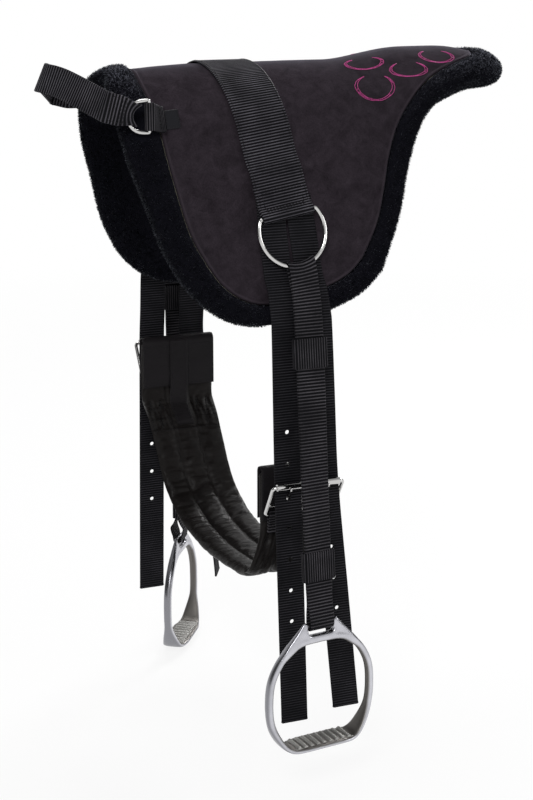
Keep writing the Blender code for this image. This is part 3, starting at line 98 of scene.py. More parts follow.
# Seam between the suede and the plush, the same way
FRONT_SEAM_SHARES = [(-0.240, 0.0), (-0.245, 0.155), (-0.226, 0.36), (-0.209, 0.51),
                     (-0.184, 0.68), (-0.151, 0.79)]
LOWER_SEAM_SHARES = [(-0.151, 0.79), (-0.121, 0.858), (-0.073, 0.914), (-0.010, 0.933),
                     (0.115, 0.896), (0.184, 0.856), (0.226, 0.804)]
REAR_SEAM_SHARES = [(0.622, 0.0), (0.612, 0.06), (0.580, 0.125), (0.520, 0.178), (0.458, 0.228),
                    (0.398, 0.300), (0.350, 0.378), (0.319, 0.475), (0.298, 0.58), (0.272, 0.69),
                    (0.226, 0.804)]


# Webbing
WEB_THICKNESS = 0.002
WEB_WIDTH = 0.0315
LYING_GAP = 0.0008  # under webbing that lies over the pad's curved top

# Wide band over the pad, folded round a big ring at each end
BAND_WIDTH = 0.060
BAND_X = -0.008  # of its centre on the ridge
BAND_SWEEP = {"left": 0.029, "right": -0.002}  # of its end behind its middle
BAND_BEND_POWER = 1.2
RING_BAR_DROP = 0.2095  # along the surface, ridge to the ring's bar
BAND_FOLD_LENGTH = 0.035
BAND_STEPS = 18

# Big rings
RING_WIRE_RADIUS = 0.0024
RING_ARC_RADIUS = 0.038
RING_ARC_DROP = 0.019  # of the arc's centre below the bar
RING_ARC_STEPS = 96
RING_STANDOFF = 0.0006  # of the band's inner fold above the billets

# Girth billets: four straps with holes, two on each side
BILLET_TOP_DROP = 0.188  # along the surface
BILLET_SIDE_GAP = 0.0006
BILLET_EASE = 0.0006  # above the plush roll
BILLET_LEAN = {"left": math.radians(2.5), "right": math.radians(0.5)}
BILLET_ROW_SHARES = [0.0, 0.35, 0.61, 0.64, 0.68, 0.72, 0.76, 0.81, 0.90, 1.0]
BILLET_CLIMB_SHARES = (0.63, 0.80)  # of its length on the flap, where it climbs the plush roll
FLAP_EDGE_DROP = 0.322  # along the surface, where the straps leave the flap
HOLE_RADIUS = 0.0026
HOLE_PITCH = 0.036
HOLE_COUNT = 7
LAST_HOLE_TO_END = 0.119
BILLETS = {  # x at the buckle and at the end, and the end's drop below the ridge
    "left_front": (0.006, 0.010, 0.716),
    "left_rear": (0.050, 0.073, 0.708),
    "right_front": (-0.044, -0.049, 0.667),
    "right_rear": (0.008, 0.040, 0.660),
}
BILLET_TAIL_TWIST = {"right_rear": math.radians(62)}  # of its free end about the vertical
TWIST_START = 0.180  # below the buckle
TWIST_LENGTH = 0.11
BILLET_CENTRE_SHIFT = 0.003  # of the pair from the band's centre

# Girth buckles: a wire frame with a roller, a middle bar with the tongue and a lower bar
BUCKLE_DROP = {"left": 0.441, "right": 0.347}  # of the rollers below the ridge
BUCKLE_INSIDE = 0.0345
BUCKLE_WIRE_RADIUS = 0.002
BUCKLE_UPPER_LENGTH = 0.029  # roller to middle bar
BUCKLE_LOWER_LENGTH = 0.016  # middle bar to lower bar
BUCKLE_CORNER = 0.004
BUCKLE_LEAN = math.radians(35)  # of the frame from the billet
ROLLER_RADIUS = 0.0038
ROLLER_BORE_RADIUS = 0.0024
TONGUE_RADIUS = 0.0013
TONGUE_HOLE_LENGTH = 0.0084
TONGUE_TIP_OVERRUN = 0.003

# Girth: padded nylon body with three channels, bound ends and webbing tabs
GIRTH_WIDTH = 0.090
GIRTH_THICKNESS = 0.011
GIRTH_SEAM_THICKNESS = 0.005
GIRTH_END_RISE = 0.008  # of its end above the rollers
GIRTH_STRAIGHT_END = 0.072
GIRTH_END_SHIFT = {"left": 0.002, "right": -0.005}  # of its end from the middle of its buckles
GIRTH_BOTTOM_DROP = 0.566
GIRTH_HALF_SPAN = 0.158
GIRTH_CHANNELS = 3
GIRTH_STEPS = 26
GIRTH_ROWS = 210  # of its cloth from end to end
GIRTH_CHANNEL_COLUMNS = 12  # of its cloth across one channel
GIRTH_HELD_ROWS = 48  # at each end, where it isn't blown up
GIRTH_SWELL_FRAMES = 20
GIRTH_SWELL_LIMIT = 0.0012
# Between the straight ends, left to right: x of the half width, y of the half span, z of the bottom drop
GIRTH_ROUTE_SHARES = [(0.40, -0.84, 0.953), (0.38, -0.68, 0.982), (0.34, -0.36, 0.993),
                      (0.32, 0.10, 1.0), (0.30, 0.56, 0.985), (0.20, 0.84, 0.933),
                      (0.05, 0.93, 0.855), (-0.20, 0.90, 0.775)]
BINDING_THICKNESS = 0.0012
BINDING_FLAP = 0.056 * 0.97  # down each face of the girth
CENTRE_STRIP_WIDTH = 0.022  # on the girth ends' inner face
TAB_WIDTH = 0.030
TAB_LENGTH = 0.022

# Stirrup straps: closed webbing loops between a big ring and a stirrup, with two keepers
STRAP_EDGE_STANDOFF = 0.0150  # of the strap's centre above the flap's lower edge
STRAP_OVER_BUCKLE = 0.0165  # of the strap's centre outside the billets at the girth buckles
STRAP_LEAN = {"left": math.radians(10), "right": math.radians(10.5)}
EYE_X = {"left": 0.021, "right": 0.015}
EYE_DROP = {"left": 0.583, "right": 0.632}  # of the stirrup's top bar below the ridge
EYE_TWIST = {"left": math.radians(7), "right": math.radians(55)}
EYE_WEB_WIDTH = 0.0295  # webbing drawn in where it passes the stirrup's eye
STRAP_STEPS = 20
STRAP_COLUMNS = 4
KEEPER_LENGTH = 0.032
KEEPER_PLAY = 0.0014
UPPER_KEEPER_DROP = 0.294
LOWER_KEEPER_DROP = {"left": 0.520, "right": 0.583}

# Stirrups: cast aluminium
STIRRUP_WIDTH = 0.135
STIRRUP_HEIGHT = 0.144
STIRRUP_TREAD_WIDTH = 0.088
STIRRUP_TREAD_DEPTH = 0.035
STIRRUP_TREAD_THICKNESS = 0.006
STIRRUP_ARM_THICKNESS = 0.008
STIRRUP_ARM_DEPTH = 0.010
STIRRUP_EYE_WIDTH = 0.0410
STIRRUP_EYE_FOOT = 0.034
STIRRUP_EYE_HEIGHT = 0.019
STIRRUP_SLOT_WIDTH = 0.0315
STIRRUP_SLOT_HEIGHT = 0.0085
STIRRUP_BAR_THICKNESS = 0.006
RIDGE_COUNT = 9
RIDGE_PITCH = 0.0078
RIDGE_HEIGHT = 0.0018
RIDGE_BASE = 0.0050
STIRRUP_STATIONS = 120

# Front rings, their tabs, the grab handle and the bare label
FRONT_RING_DROP = 0.099  # along the surface
FRONT_RING_BAR_X = -0.1235
FRONT_RING_RADIUS = 0.0165
FRONT_RING_LEG = 0.006  # bar to the arc's centre
FRONT_RING_WIRE_RADIUS = 0.002
FRONT_RING_STANDOFF = 0.0172  # of its bar above the suede
FRONT_TAB_WIDTH = 0.0285
FRONT_TAB_LENGTH = 0.020
HANDLE_LOOP_GAP = 0.0012
HANDLE_END_WIDTH = 0.023
HANDLE_REACH = 0.088  # ahead of the front rings' bars
HANDLE_RISE = 0.035  # of its middle above the front rings
HANDLE_ROOT_PITCH = math.radians(16)
HANDLE_LEAN = math.radians(24)  # of its front turn, top edge towards the pad
HANDLE_TURNBACK = 0.026
HANDLE_STEPS = 22
LABEL_LENGTH = 0.015
LABEL_HEIGHT = 0.021
LABEL_THICKNESS = 0.001
LABEL_SETBACK = 0.0025  # behind the tab

SIDES = {"left": -1.0, "right": 1.0}
FOLD_STEPS = 12
UP = Vector((0.0, 0.0, 1.0))
BACK = Vector((1.0, 0.0, 0.0))

# Surface detail
GIRTH_CROSS_SEAM = 0.130  # from the girth's end
RIB_PITCH = 0.0035  # of the strap webbing's cross ribs
BILLET_RIB_PITCH = 0.0030
BAND_RIB_PITCH = 0.0031
KEEPER_RIB_PITCH = 0.0028
FRONT_TAB_RIB_PITCH = 0.0024
RIB_DEPTH = 0.0006
ROWS_PER_RIB = 6
STITCH_PITCH = 0.0036
STITCH_LENGTH = 0.0027
STITCH_RADIUS = 0.00034
PILE_LENGTH = 0.0029  # of the plush, from its backing to the tips
PILE_SET_IN = 0.0014  # of its backing inside the roll's outline
PILE_PER_RIM = 90000
PILE_PER_UNDERSIDE = 36000
# x, drop, width, height share and tilt of each
HORSESHOES = [(0.147, 0.0755, 0.0460, 0.80, -15), (0.149, 0.0345, 0.0450, 0.62, -12),
              (0.193, 0.0610, 0.0450, 0.56, -8), (0.236, 0.0405, 0.0430, 0.68, -2)]
FLOOR_Z = -0.760

# Across a strap: share of its width, share of its full thickness, share of the full rib depth
STRAP_SECTION = [(0.0, 0.28, 0.0), (0.012, 0.72, 0.0), (0.035, 1.0, 0.15), (0.085, 1.0, 0.9),
                 (0.2, 1.0, 1.0), (0.35, 1.0, 1.0), (0.5, 1.0, 1.0), (0.65, 1.0, 1.0), (0.8, 1.0, 1.0),
                 (0.915, 1.0, 0.9), (0.965, 1.0, 0.15), (0.988, 0.72, 0.0), (1.0, 0.28, 0.0)]


# Routes and forms

def curve(points, steps):
    """Evenly spaced points on a smooth curve through the given ones."""
    knots = [Vector(p) for p in points]
    dense = []
    per_span = 12
    for index in range(len(knots) - 1):
        p1, p2 = knots[index], knots[index + 1]
        p0 = knots[index - 1] if index else p1 * 2 - p2
        p3 = knots[index + 2] if index + 2 < len(knots) else p2 * 2 - p1
        for step in range(per_span):
            t = step / per_span
            dense.append(0.5 * (2 * p1 + (p2 - p0) * t + (2 * p0 - 5 * p1 + 4 * p2 - p3) * t ** 2
                                + (3 * p1 - p0 - 3 * p2 + p3) * t ** 3))
    dense.append(knots[-1])
    lengths = [0.0]
    for a, b in zip(dense, dense[1:]):
        lengths.append(lengths[-1] + (b - a).length)
    result = []
    span = 0
    for step in range(steps + 1):
        target = lengths[-1] * step / steps
        while span < len(dense) - 2 and lengths[span + 1] < target:
            span += 1
        share = (target - lengths[span]) / (lengths[span + 1] - lengths[span])
        result.append(dense[span].lerp(dense[span + 1], share))
    return result


def smooth(value):
    value = max(0.0, min(1.0, value))
    return value * value * (3 - 2 * value)


def ridge_rise(share):
    """Height of the ridge by its place along the pad: level, a rising cantle, drooping ends."""
    rise = CANTLE_RISE * smooth((share - CANTLE_SHARES[0]) / (CANTLE_SHARES[1] - CANTLE_SHARES[0]))
    tail = max(0.0, share - TAIL_DROOP_SHARE) / (REAR_EDGE_SHARES[0][0] - TAIL_DROOP_SHARE)
    front = max(0.0, FRONT_DROOP_SHARE - share) / (FRONT_DROOP_SHARE - FRONT_EDGE_SHARES[0][0])
    return rise - TAIL_DROOP * tail ** 2 - FRONT_DROOP * front ** 2


def on_pad(x, drop, height=0.0):
    """A point over the pad: drop is measured along the surface, negative on the left."""
    side = -1.0 if drop < 0 else 1.0
    turn = min(abs(drop) / RIDGE_RADIUS, FLAP_ANGLE)
    flat = abs(drop) - RIDGE_RADIUS * turn
    y = (RIDGE_RADIUS + height) * math.sin(turn) + flat * math.cos(turn)
    z = (RIDGE_RADIUS + height) * math.cos(turn) - RIDGE_RADIUS - flat * math.sin(turn)
    return Vector((x, side * y, PAD_THICKNESS + ridge_rise(x / PAD_LENGTH) + z))


def out_of_pad(drop):
    turn = min(abs(drop) / RIDGE_RADIUS, FLAP_ANGLE)
    return Vector((0.0, math.copysign(math.sin(turn), drop), math.cos(turn)))


def down_pad(drop):
    turn = min(abs(drop) / RIDGE_RADIUS, FLAP_ANGLE)
    return Vector((0.0, math.copysign(math.cos(turn), drop), -math.sin(turn)))


def strip_rows(centres, across, width, columns=1):
    """Rows of points across a strap; across is one direction or one for each centre."""
    rows = []
    for index, centre in enumerate(centres):
        direction = across[index] if isinstance(across, list) else across
        size = width[index] if isinstance(width, list) else width
        rows.append([centre + direction * size * (j / columns - 0.5) for j in range(columns + 1)])
    return rows


def fold_path(radius, first, last):
    """Path of webbing folded round a wire at the origin, as (away, out) pairs."""
    path = [(first, -radius)]
    for step in range(FOLD_STEPS + 1):
        angle = -math.pi / 2 - math.pi * step / FOLD_STEPS
        path.append((radius * math.cos(angle), radius * math.sin(angle)))
    path.append((last, radius))
    return path


# The plush roll's section from the seam to the outer edge: share of the roll's width, share of the
# pad's thickness below the suede; the roll's own height comes on top
ROLL_SECTION_SHARES = [(0.30, -0.9), (0.72, -0.75), (0.96, 0.0), (1.0, 0.45), (0.90, 0.88), (0.5, 1.0)]


RING_FOLD_RADIUS = RING_WIRE_RADIUS + LOOP_GAP + WEB_THICKNESS / 2
BILLET_HEIGHT = GAP + WEB_THICKNESS / 2
FOLD_INNER_HEIGHT = BILLET_HEIGHT + WEB_THICKNESS + GAP
RING_BAR_HEIGHT = FOLD_INNER_HEIGHT + RING_STANDOFF + RING_FOLD_RADIUS


def band_x(side, drop):
    return BAND_X + BAND_SWEEP[side] * (abs(drop) / RING_BAR_DROP) ** BAND_BEND_POWER


def band_turn(side, drop):
    """Angle of the band from straight down the flap."""
    rate = BAND_SWEEP[side] * BAND_BEND_POWER / RING_BAR_DROP
    return math.atan(rate * (abs(drop) / RING_BAR_DROP) ** (BAND_BEND_POWER - 1))


def band_height(to_bar):
    """Height of the band's outer layer, by its distance above the ring's bar."""
    lying = LYING_GAP + WEB_THICKNESS / 2
    doubled = FOLD_INNER_HEIGHT + WEB_THICKNESS + GAP
    at_bar = RING_BAR_HEIGHT + RING_FOLD_RADIUS
    ease = RING_FOLD_RADIUS * 3
    if to_bar < BAND_FOLD_LENGTH + ease:
        return doubled + (at_bar - doubled) * (1 - smooth(to_bar / ease))
    return lying + (doubled - lying) * (1 - smooth((to_bar - BAND_FOLD_LENGTH - ease) / ease))


def band_row(side, drop, height):
    turn = band_turn(side, drop)
    x = band_x(side, drop)
    row = []
    for share in (-0.5, 0.0, 0.5):
        offset = share * BAND_WIDTH
        place = drop - offset * math.sin(turn)
        row.append(on_pad(x + offset * math.cos(turn), SIDES[side] * place, height))
    return row


def band_half(side):
    """Rows of one half of the band, from its folded end up to the ridge."""
    turn = band_turn(side, RING_BAR_DROP)
    rows = []
    for away, out in fold_path(RING_FOLD_RADIUS, BAND_FOLD_LENGTH, 0.0)[:-1]:
        drop = RING_BAR_DROP - away * math.cos(turn)
        shift = band_x(side, RING_BAR_DROP) - away * math.sin(turn) - band_x(side, drop)
        rows.append([p + BACK * shift for p in band_row(side, drop, RING_BAR_HEIGHT + out)])
    for step in range(1, BAND_STEPS):
        to_bar = RING_BAR_DROP * (step / BAND_STEPS) ** 1.3
        rows.append(band_row(side, RING_BAR_DROP - to_bar, band_height(to_bar)))
    return rows


def ring_frame(side):
    """Frame of a big ring: X along its bar, Y through it, Z up the band; origin on the bar."""
    turn = band_turn(side, RING_BAR_DROP)
    drop = SIDES[side] * RING_BAR_DROP
    down = BACK * math.sin(turn) + down_pad(drop) * math.cos(turn)
    bar = BACK * math.cos(turn) - down_pad(drop) * math.sin(turn)
    frame = Matrix((bar, bar.cross(down), -down)).transposed().to_4x4()
    frame.translation = on_pad(band_x(side, RING_BAR_DROP), drop, RING_BAR_HEIGHT)
    return frame


def ring_path():
    """Centre line of a big ring in its own frame: an arc closed by the straight bar."""
    start = math.acos(RING_ARC_DROP / RING_ARC_RADIUS)
    path = []
    for step in range(RING_ARC_STEPS + 1):
        angle = start + (math.tau - 2 * start) * step / RING_ARC_STEPS
        path.append(Vector((RING_ARC_RADIUS * math.sin(angle), 0.0,
                            -RING_ARC_DROP + RING_ARC_RADIUS * math.cos(angle))))
    return path


def billet_point(x, side, below_ridge):
    """A point on a billet's centre below the flap's edge."""
    edge = on_pad(x, SIDES[side] * FLAP_EDGE_DROP, ROLL_PROUD + BILLET_HEIGHT + BILLET_EASE)
    z = PAD_THICKNESS - below_ridge
    return Vector((x, edge.y + SIDES[side] * (edge.z - z) * math.tan(BILLET_LEAN[side]), z))


def billet_top_x(key):
    side, place = key.split("_")
    offset = (WEB_WIDTH + BILLET_SIDE_GAP) / 2
    return band_x(side, BILLET_TOP_DROP) + BILLET_CENTRE_SHIFT + (offset if place == "rear" else -offset)


def billet_route(key):
    """Centre of a billet from its sewn end under the band to its free end."""
    side = key.split("_")[0]
    x_buckle, x_end, end_drop = BILLETS[key]
    sign = SIDES[side]
    x_top = billet_top_x(key)
    slope_x = (x_buckle - x_top) / (BUCKLE_DROP[side] - BILLET_TOP_DROP)
    top = []
    for share in BILLET_ROW_SHARES:
        drop = BILLET_TOP_DROP + (FLAP_EDGE_DROP - BILLET_TOP_DROP) * share
        climb = smooth((share - BILLET_CLIMB_SHARES[0]) / (BILLET_CLIMB_SHARES[1] - BILLET_CLIMB_SHARES[0]))
        height = BILLET_HEIGHT + (ROLL_PROUD + BILLET_EASE) * climb
        top.append(on_pad(x_top + slope_x * (drop - BILLET_TOP_DROP), sign * drop, height))
    start = top[-1]
    buckle = billet_point(x_buckle, side, BUCKLE_DROP[side])
    end = billet_point(x_end, side, end_drop)
    lower = curve([start.lerp(buckle, 0.5), buckle, buckle.lerp(end, 0.5), end], 12)
    return top + lower


def hole_drops(key):
    side = key.split("_")[0]
    end_drop = BILLETS[key][2]
    lean = math.cos(BILLET_LEAN[side])
    return [end_drop - (LAST_HOLE_TO_END + index * HOLE_PITCH) * lean for index in range(HOLE_COUNT)]


def billet_at(key, below_ridge):
    """Centre of the billet at a depth, on its straight lengths."""
    side = key.split("_")[0]
    route = billet_route(key)
    z = PAD_THICKNESS - below_ridge
    for a, b in zip(route, route[1:]):
        if a.z >= z >= b.z:
            return a.lerp(b, (a.z - z) / (a.z - b.z))
    return billet_point(BILLETS[key][0], side, below_ridge)


def billet_across(key, z):
    """Direction across a billet at a height; the free end of one of them is twisted."""
    side = key.split("_")[0]
    below_buckle = PAD_THICKNESS - BUCKLE_DROP[side] - z - TWIST_START
    turned = BILLET_TAIL_TWIST.get(key, 0.0) * smooth(below_buckle / TWIST_LENGTH)
    return Matrix.Rotation(turned, 3, "Z") @ BACK


def billet_out(side):
    return Vector((0.0, SIDES[side] * math.cos(BILLET_LEAN[side]), math.sin(BILLET_LEAN[side])))


def buckle_frame(key):
    """Frame of a buckle: X along the roller, Y out of the frame, Z from the middle bar to the roller."""
    side = key.split("_")[0]
    roller = billet_point(BILLETS[key][0], side, BUCKLE_DROP[side])
    out = billet_out(side)
    up = Vector((0.0, -SIDES[side] * math.sin(BILLET_LEAN[side]), math.cos(BILLET_LEAN[side])))
    roller = roller + out * (WEB_THICKNESS / 2 + GAP + ROLLER_RADIUS)
    z_axis = up * math.cos(BUCKLE_LEAN) + out * math.sin(BUCKLE_LEAN)
    y_axis = out * math.cos(BUCKLE_LEAN) - up * math.sin(BUCKLE_LEAN)
    x_axis = y_axis.cross(z_axis)
    frame = Matrix((x_axis, y_axis, z_axis)).transposed().to_4x4()
    frame.translation = roller
    return frame


def rounded_rectangle(half_width, high, low, corner, steps=3):
    """Closed path in the XZ plane, anticlockwise from the upper right corner."""
    path = []
    for cx, cz, start in ((half_width, high, 0), (-half_width, high, 90),
                          (-half_width, low, 180), (half_width, low, 270)):
        centre_x = cx - math.copysign(corner, cx)
        centre_z = cz - corner if cz == high else cz + corner
        for step in range(steps + 1):
            angle = math.radians(start + 90 * step / steps)
            x, z = centre_x + corner * math.cos(angle), centre_z + corner * math.sin(angle)
            path.append(Vector((x, 0.0, z)))
    return path


TONGUE_EYE_RADIUS = BUCKLE_WIRE_RADIUS + GAP + TONGUE_RADIUS


def tongue_tip():
    return Vector((0.0, ROLLER_RADIUS + GAP + TONGUE_RADIUS, 0.0))


def tongue_start():
    """Where the tongue's straight length leaves its eye on the middle bar."""
    return Vector((0.0, TONGUE_EYE_RADIUS * 0.3, -BUCKLE_UPPER_LENGTH + TONGUE_EYE_RADIUS))


def tongue_crossing():
    """Where the tongue passes the middle of the billet, in the buckle's frame."""
    billet_y = -(WEB_THICKNESS / 2 + GAP + ROLLER_RADIUS)
    start, tip = tongue_start(), tongue_tip()
    normal = Vector((0.0, math.cos(BUCKLE_LEAN), math.sin(BUCKLE_LEAN)))
    height_start = start.dot(normal) - billet_y
    height_tip = tip.dot(normal) - billet_y
    return start.lerp(tip, height_start / (height_start - height_tip))


def girth_end(side):
    """Centre points down a girth end's straight length."""
    keys = [key for key in BILLETS if key.startswith(side)]
    x = sum(BILLETS[key][0] for key in keys) / len(keys) + GIRTH_END_SHIFT[side]
    bar = buckle_frame(keys[0]) @ Vector((0.0, 0.0, -BUCKLE_UPPER_LENGTH - BUCKLE_LOWER_LENGTH))
    fold = BUCKLE_WIRE_RADIUS + LOOP_GAP + WEB_THICKNESS / 2
    behind = fold + WEB_THICKNESS / 2 + 2 * GAP + BINDING_THICKNESS + GIRTH_THICKNESS / 2
    y = bar.y - SIDES[side] * behind
    z = PAD_THICKNESS - BUCKLE_DROP[side] + GIRTH_END_RISE
    return [Vector((x, y, z - GIRTH_STRAIGHT_END * share)) for share in (0.0, 0.35, 0.7, 1.0)]


def girth_route():
    middle = [Vector((x * GIRTH_WIDTH / 2, y * GIRTH_HALF_SPAN, PAD_THICKNESS - z * GIRTH_BOTTOM_DROP))
              for x, y, z in GIRTH_ROUTE_SHARES]
    return curve(girth_end("left") + middle + girth_end("right")[::-1], GIRTH_STEPS)


STRAP_HALF = WEB_THICKNESS / 2 + GAP


def strap_route(side):
    """Centre of a stirrup strap from the big ring's lowest point to the stirrup's top bar."""
    sign = SIDES[side]
    ring = ring_frame(side) @ Vector((0.0, 0.0, -RING_ARC_DROP - RING_ARC_RADIUS))
    eye_z = PAD_THICKNESS - EYE_DROP[side]
    edge = on_pad(ring.x, sign * FLAP_EDGE_DROP, STRAP_EDGE_STANDOFF)
    over = billet_point(ring.x, side, BUCKLE_DROP[side])
    straight = abs(edge.y) + (edge.z - over.z) * math.tan(STRAP_LEAN[side])
    over.y = sign * max(abs(over.y) + STRAP_OVER_BUCKLE, straight)
    eye = Vector((EYE_X[side], edge.y + sign * (edge.z - eye_z) * math.tan(STRAP_LEAN[side]), eye_z))
    for point in (edge, over):
        point.x += (eye.x - ring.x) * (ring.z - point.z) / (ring.z - eye.z)
    return curve([ring, edge, over, over.lerp(eye, 0.5), eye], STRAP_STEPS)


def strap_station(side, share):
    """Centre, down, across and out of a strap at a share of its length."""
    route = strap_route(side)
    place = share * STRAP_STEPS
    index = min(int(place), STRAP_STEPS - 1)
    centre = route[index].lerp(route[index + 1], place - index)
    down = (route[index + 1] - route[index]).normalized()
    if share == 0:
        down = -(ring_frame(side).to_3x3() @ UP)
    twist_share = smooth((share - 0.25) / 0.45)
    start_across = ring_frame(side).to_3x3() @ BACK
    lying = smooth(share / 0.15)
    across = start_across.lerp(BACK, lying)
    turn = Matrix.Rotation(EYE_TWIST[side] * twist_share, 3, UP)
    across = (turn @ across).normalized()
    out = across.cross(down).normalized() * SIDES[side]
    if out.y * SIDES[side] < 0:
        out = -out
    return centre, down, across, out


def strap_depth_share(side, below_ridge):
    route = strap_route(side)
    z = PAD_THICKNESS - below_ridge
    for index, (a, b) in enumerate(zip(route, route[1:])):
        if a.z >= z >= b.z:
            return (index + (a.z - z) / (a.z - b.z)) / STRAP_STEPS
    return 0.5


EYE_BAR_RADIUS = STIRRUP_BAR_THICKNESS / 2
STRAP_BULGE = {"left": 0.0008, "right": 0.0060}  # of its runs above the stirrup's eye
EYE_FOLD_RADIUS = EYE_BAR_RADIUS + LOOP_GAP + WEB_THICKNESS / 2


def strap_length(side):
    route = strap_route(side)
    return sum((b - a).length for a, b in zip(route, route[1:]))


def strap_half(side, share):
    """Half the distance between the two runs of a strap."""
    length = strap_length(side)
    top = 1 - smooth((share * length - RING_WIRE_RADIUS * 2) / 0.022)
    bottom = 1 - smooth(((1 - share) * length - EYE_BAR_RADIUS) / 0.022)
    bulge = STRAP_BULGE[side] * math.exp(-(((1 - share) * length - 0.017) / 0.009) ** 2)
    ends = (RING_FOLD_RADIUS - STRAP_HALF) * top + (EYE_FOLD_RADIUS - STRAP_HALF) * bottom
    return STRAP_HALF + ends + bulge


def strap_width(share):
    return WEB_WIDTH + (EYE_WEB_WIDTH - WEB_WIDTH) * smooth((share - 0.86) / 0.12)


def strap_row(side, share, turn=None):
    """One row across a strap: on its outer run, its inner run, or on the fold at an end."""
    centre, down, across, out = strap_station(side, share)
    half = strap_half(side, share)
    width = strap_width(share)
    length = strap_length(side)
    row = []
    for column in range(STRAP_COLUMNS + 1):
        offset = width * (column / STRAP_COLUMNS - 0.5)
        sag = RING_ARC_RADIUS - math.sqrt(RING_ARC_RADIUS ** 2 - offset ** 2)
        sag *= 1 - smooth(share * length / 0.016)
        point = centre + across * offset - down * sag
        row.append(point + out * half * math.cos(turn) - down * half * math.sin(turn))
    return row


def strap_rows(side):
    """The closed loop: down the outer run, round the stirrup's bar, up the inner run, over the ring."""
    shares = [0.012, 0.03, 0.06, 0.10] + [0.10 + 0.74 * k / 9 for k in range(1, 10)]
    shares += [0.88, 0.905, 0.925, 0.945, 0.96, 0.975, 0.988]
    rows = [strap_row(side, share, 0.0) for share in shares]
    rows += [strap_row(side, 1.0, -math.pi * k / FOLD_STEPS) for k in range(FOLD_STEPS + 1)]
    rows += [strap_row(side, share, math.pi) for share in reversed(shares)]
    rows += [strap_row(side, 0.0, math.pi - math.pi * k / FOLD_STEPS) for k in range(FOLD_STEPS + 1)]
    return rows


def stirrup_frame(side):
    """Frame of a stirrup: X across it, Y through it, Z up; origin in its top bar."""
    route = strap_route(side)
    frame = Matrix.Rotation(EYE_TWIST[side], 4, "Z")
    frame.translation = route[-1]
    return frame


def stirrup_stations():
    """Centre line and section of the bow and the tread, once round: point, half thickness, half depth."""
    half = STIRRUP_WIDTH / 2 - STIRRUP_ARM_THICKNESS / 2
    tread = STIRRUP_TREAD_WIDTH / 2
    floor = -STIRRUP_HEIGHT + STIRRUP_BAR_THICKNESS / 2 + STIRRUP_TREAD_THICKNESS / 2
    top = -STIRRUP_EYE_HEIGHT + STIRRUP_ARM_THICKNESS * 0.4
    rise = top - floor
    side = [(0.0, 0.0), (0.5 * tread, 0.0), (0.86 * tread, 0.0), (1.12 * tread, 0.07 * rise),
            (0.955 * half, 0.25 * rise), (half, 0.47 * rise), (0.945 * half, 0.69 * rise),
            (0.72 * half, 0.885 * rise), (0.40 * half, 0.985 * rise), (0.0, rise)]
    points = [Vector((x, 0.0, floor + z)) for x, z in side]
    right = curve(points, STIRRUP_STATIONS // 2)
    left = [Vector((-p.x, 0.0, p.z)) for p in reversed(right[1:-1])]
    stations = []
    for point in right + left:
        up = (point.z - floor) / rise
        widen = (1 - smooth(up / 0.32)) * (1 - 0.45 * smooth((abs(point.x) / tread - 0.45) / 0.75))
        depth = STIRRUP_ARM_DEPTH + (STIRRUP_TREAD_DEPTH - STIRRUP_ARM_DEPTH) * widen
        thick = STIRRUP_TREAD_THICKNESS + (STIRRUP_ARM_THICKNESS - STIRRUP_TREAD_THICKNESS) * smooth(up / 0.3)
        stations.append((point, thick / 2, depth / 2))
    return stations


def front_ring_frame(side):
    """Frame of a front ring, with the part's own axes and its origin in the ring's arc's centre."""
    bar = on_pad(FRONT_RING_BAR_X, SIDES[side] * FRONT_RING_DROP, FRONT_RING_STANDOFF)
    return Matrix.Translation(bar - BACK * FRONT_RING_LEG)


def front_ring_path():
    path = [Vector((FRONT_RING_LEG, 0.0, FRONT_RING_RADIUS))]
    for step in range(13):
        angle = math.pi / 2 + math.pi * step / 12
        path.append(Vector((math.cos(angle), 0.0, math.sin(angle))) * FRONT_RING_RADIUS)
    path.append(Vector((FRONT_RING_LEG, 0.0, -FRONT_RING_RADIUS)))
    return path


def front_tab_rows(side):
    """Webbing tab sewn on the cover's front edge and folded round a front ring's bar."""
    sign = SIDES[side]
    frame = front_ring_frame(side)
    bar = frame @ Vector((FRONT_RING_LEG, 0.0, 0.0))
    ring_up = frame.to_3x3() @ UP
    ring_out = frame.to_3x3() @ Vector((0, sign, 0))
    fold = FRONT_RING_WIRE_RADIUS + LOOP_GAP + WEB_THICKNESS / 2
    pad_up = -down_pad(sign * FRONT_RING_DROP)
    pad_out = out_of_pad(sign * FRONT_RING_DROP)
    end_x = bar.x + FRONT_TAB_LENGTH
    lying = on_pad(end_x, sign * FRONT_RING_DROP, GAP + WEB_THICKNESS / 2)
    doubled = lying + pad_out * (WEB_THICKNESS + GAP)
    inner_start = bar - ring_out * fold
    outer_start = bar + ring_out * fold
    centres = [lying, lying.lerp(inner_start, 0.4), inner_start + BACK * fold]
    ups = [pad_up, pad_up.lerp(ring_up, 0.4), ring_up]
    for step in range(FOLD_STEPS + 1):
        angle = math.pi * step / FOLD_STEPS
        centres.append(bar - ring_out * fold * math.cos(angle) - BACK * fold * math.sin(angle))
        ups.append(ring_up)
    centres += [outer_start + BACK * fold, doubled.lerp(outer_start, 0.4), doubled]
    ups += [ring_up, pad_up.lerp(ring_up, 0.4), pad_up]
    return strip_rows(centres, [up.normalized() for up in ups], FRONT_TAB_WIDTH, 2)


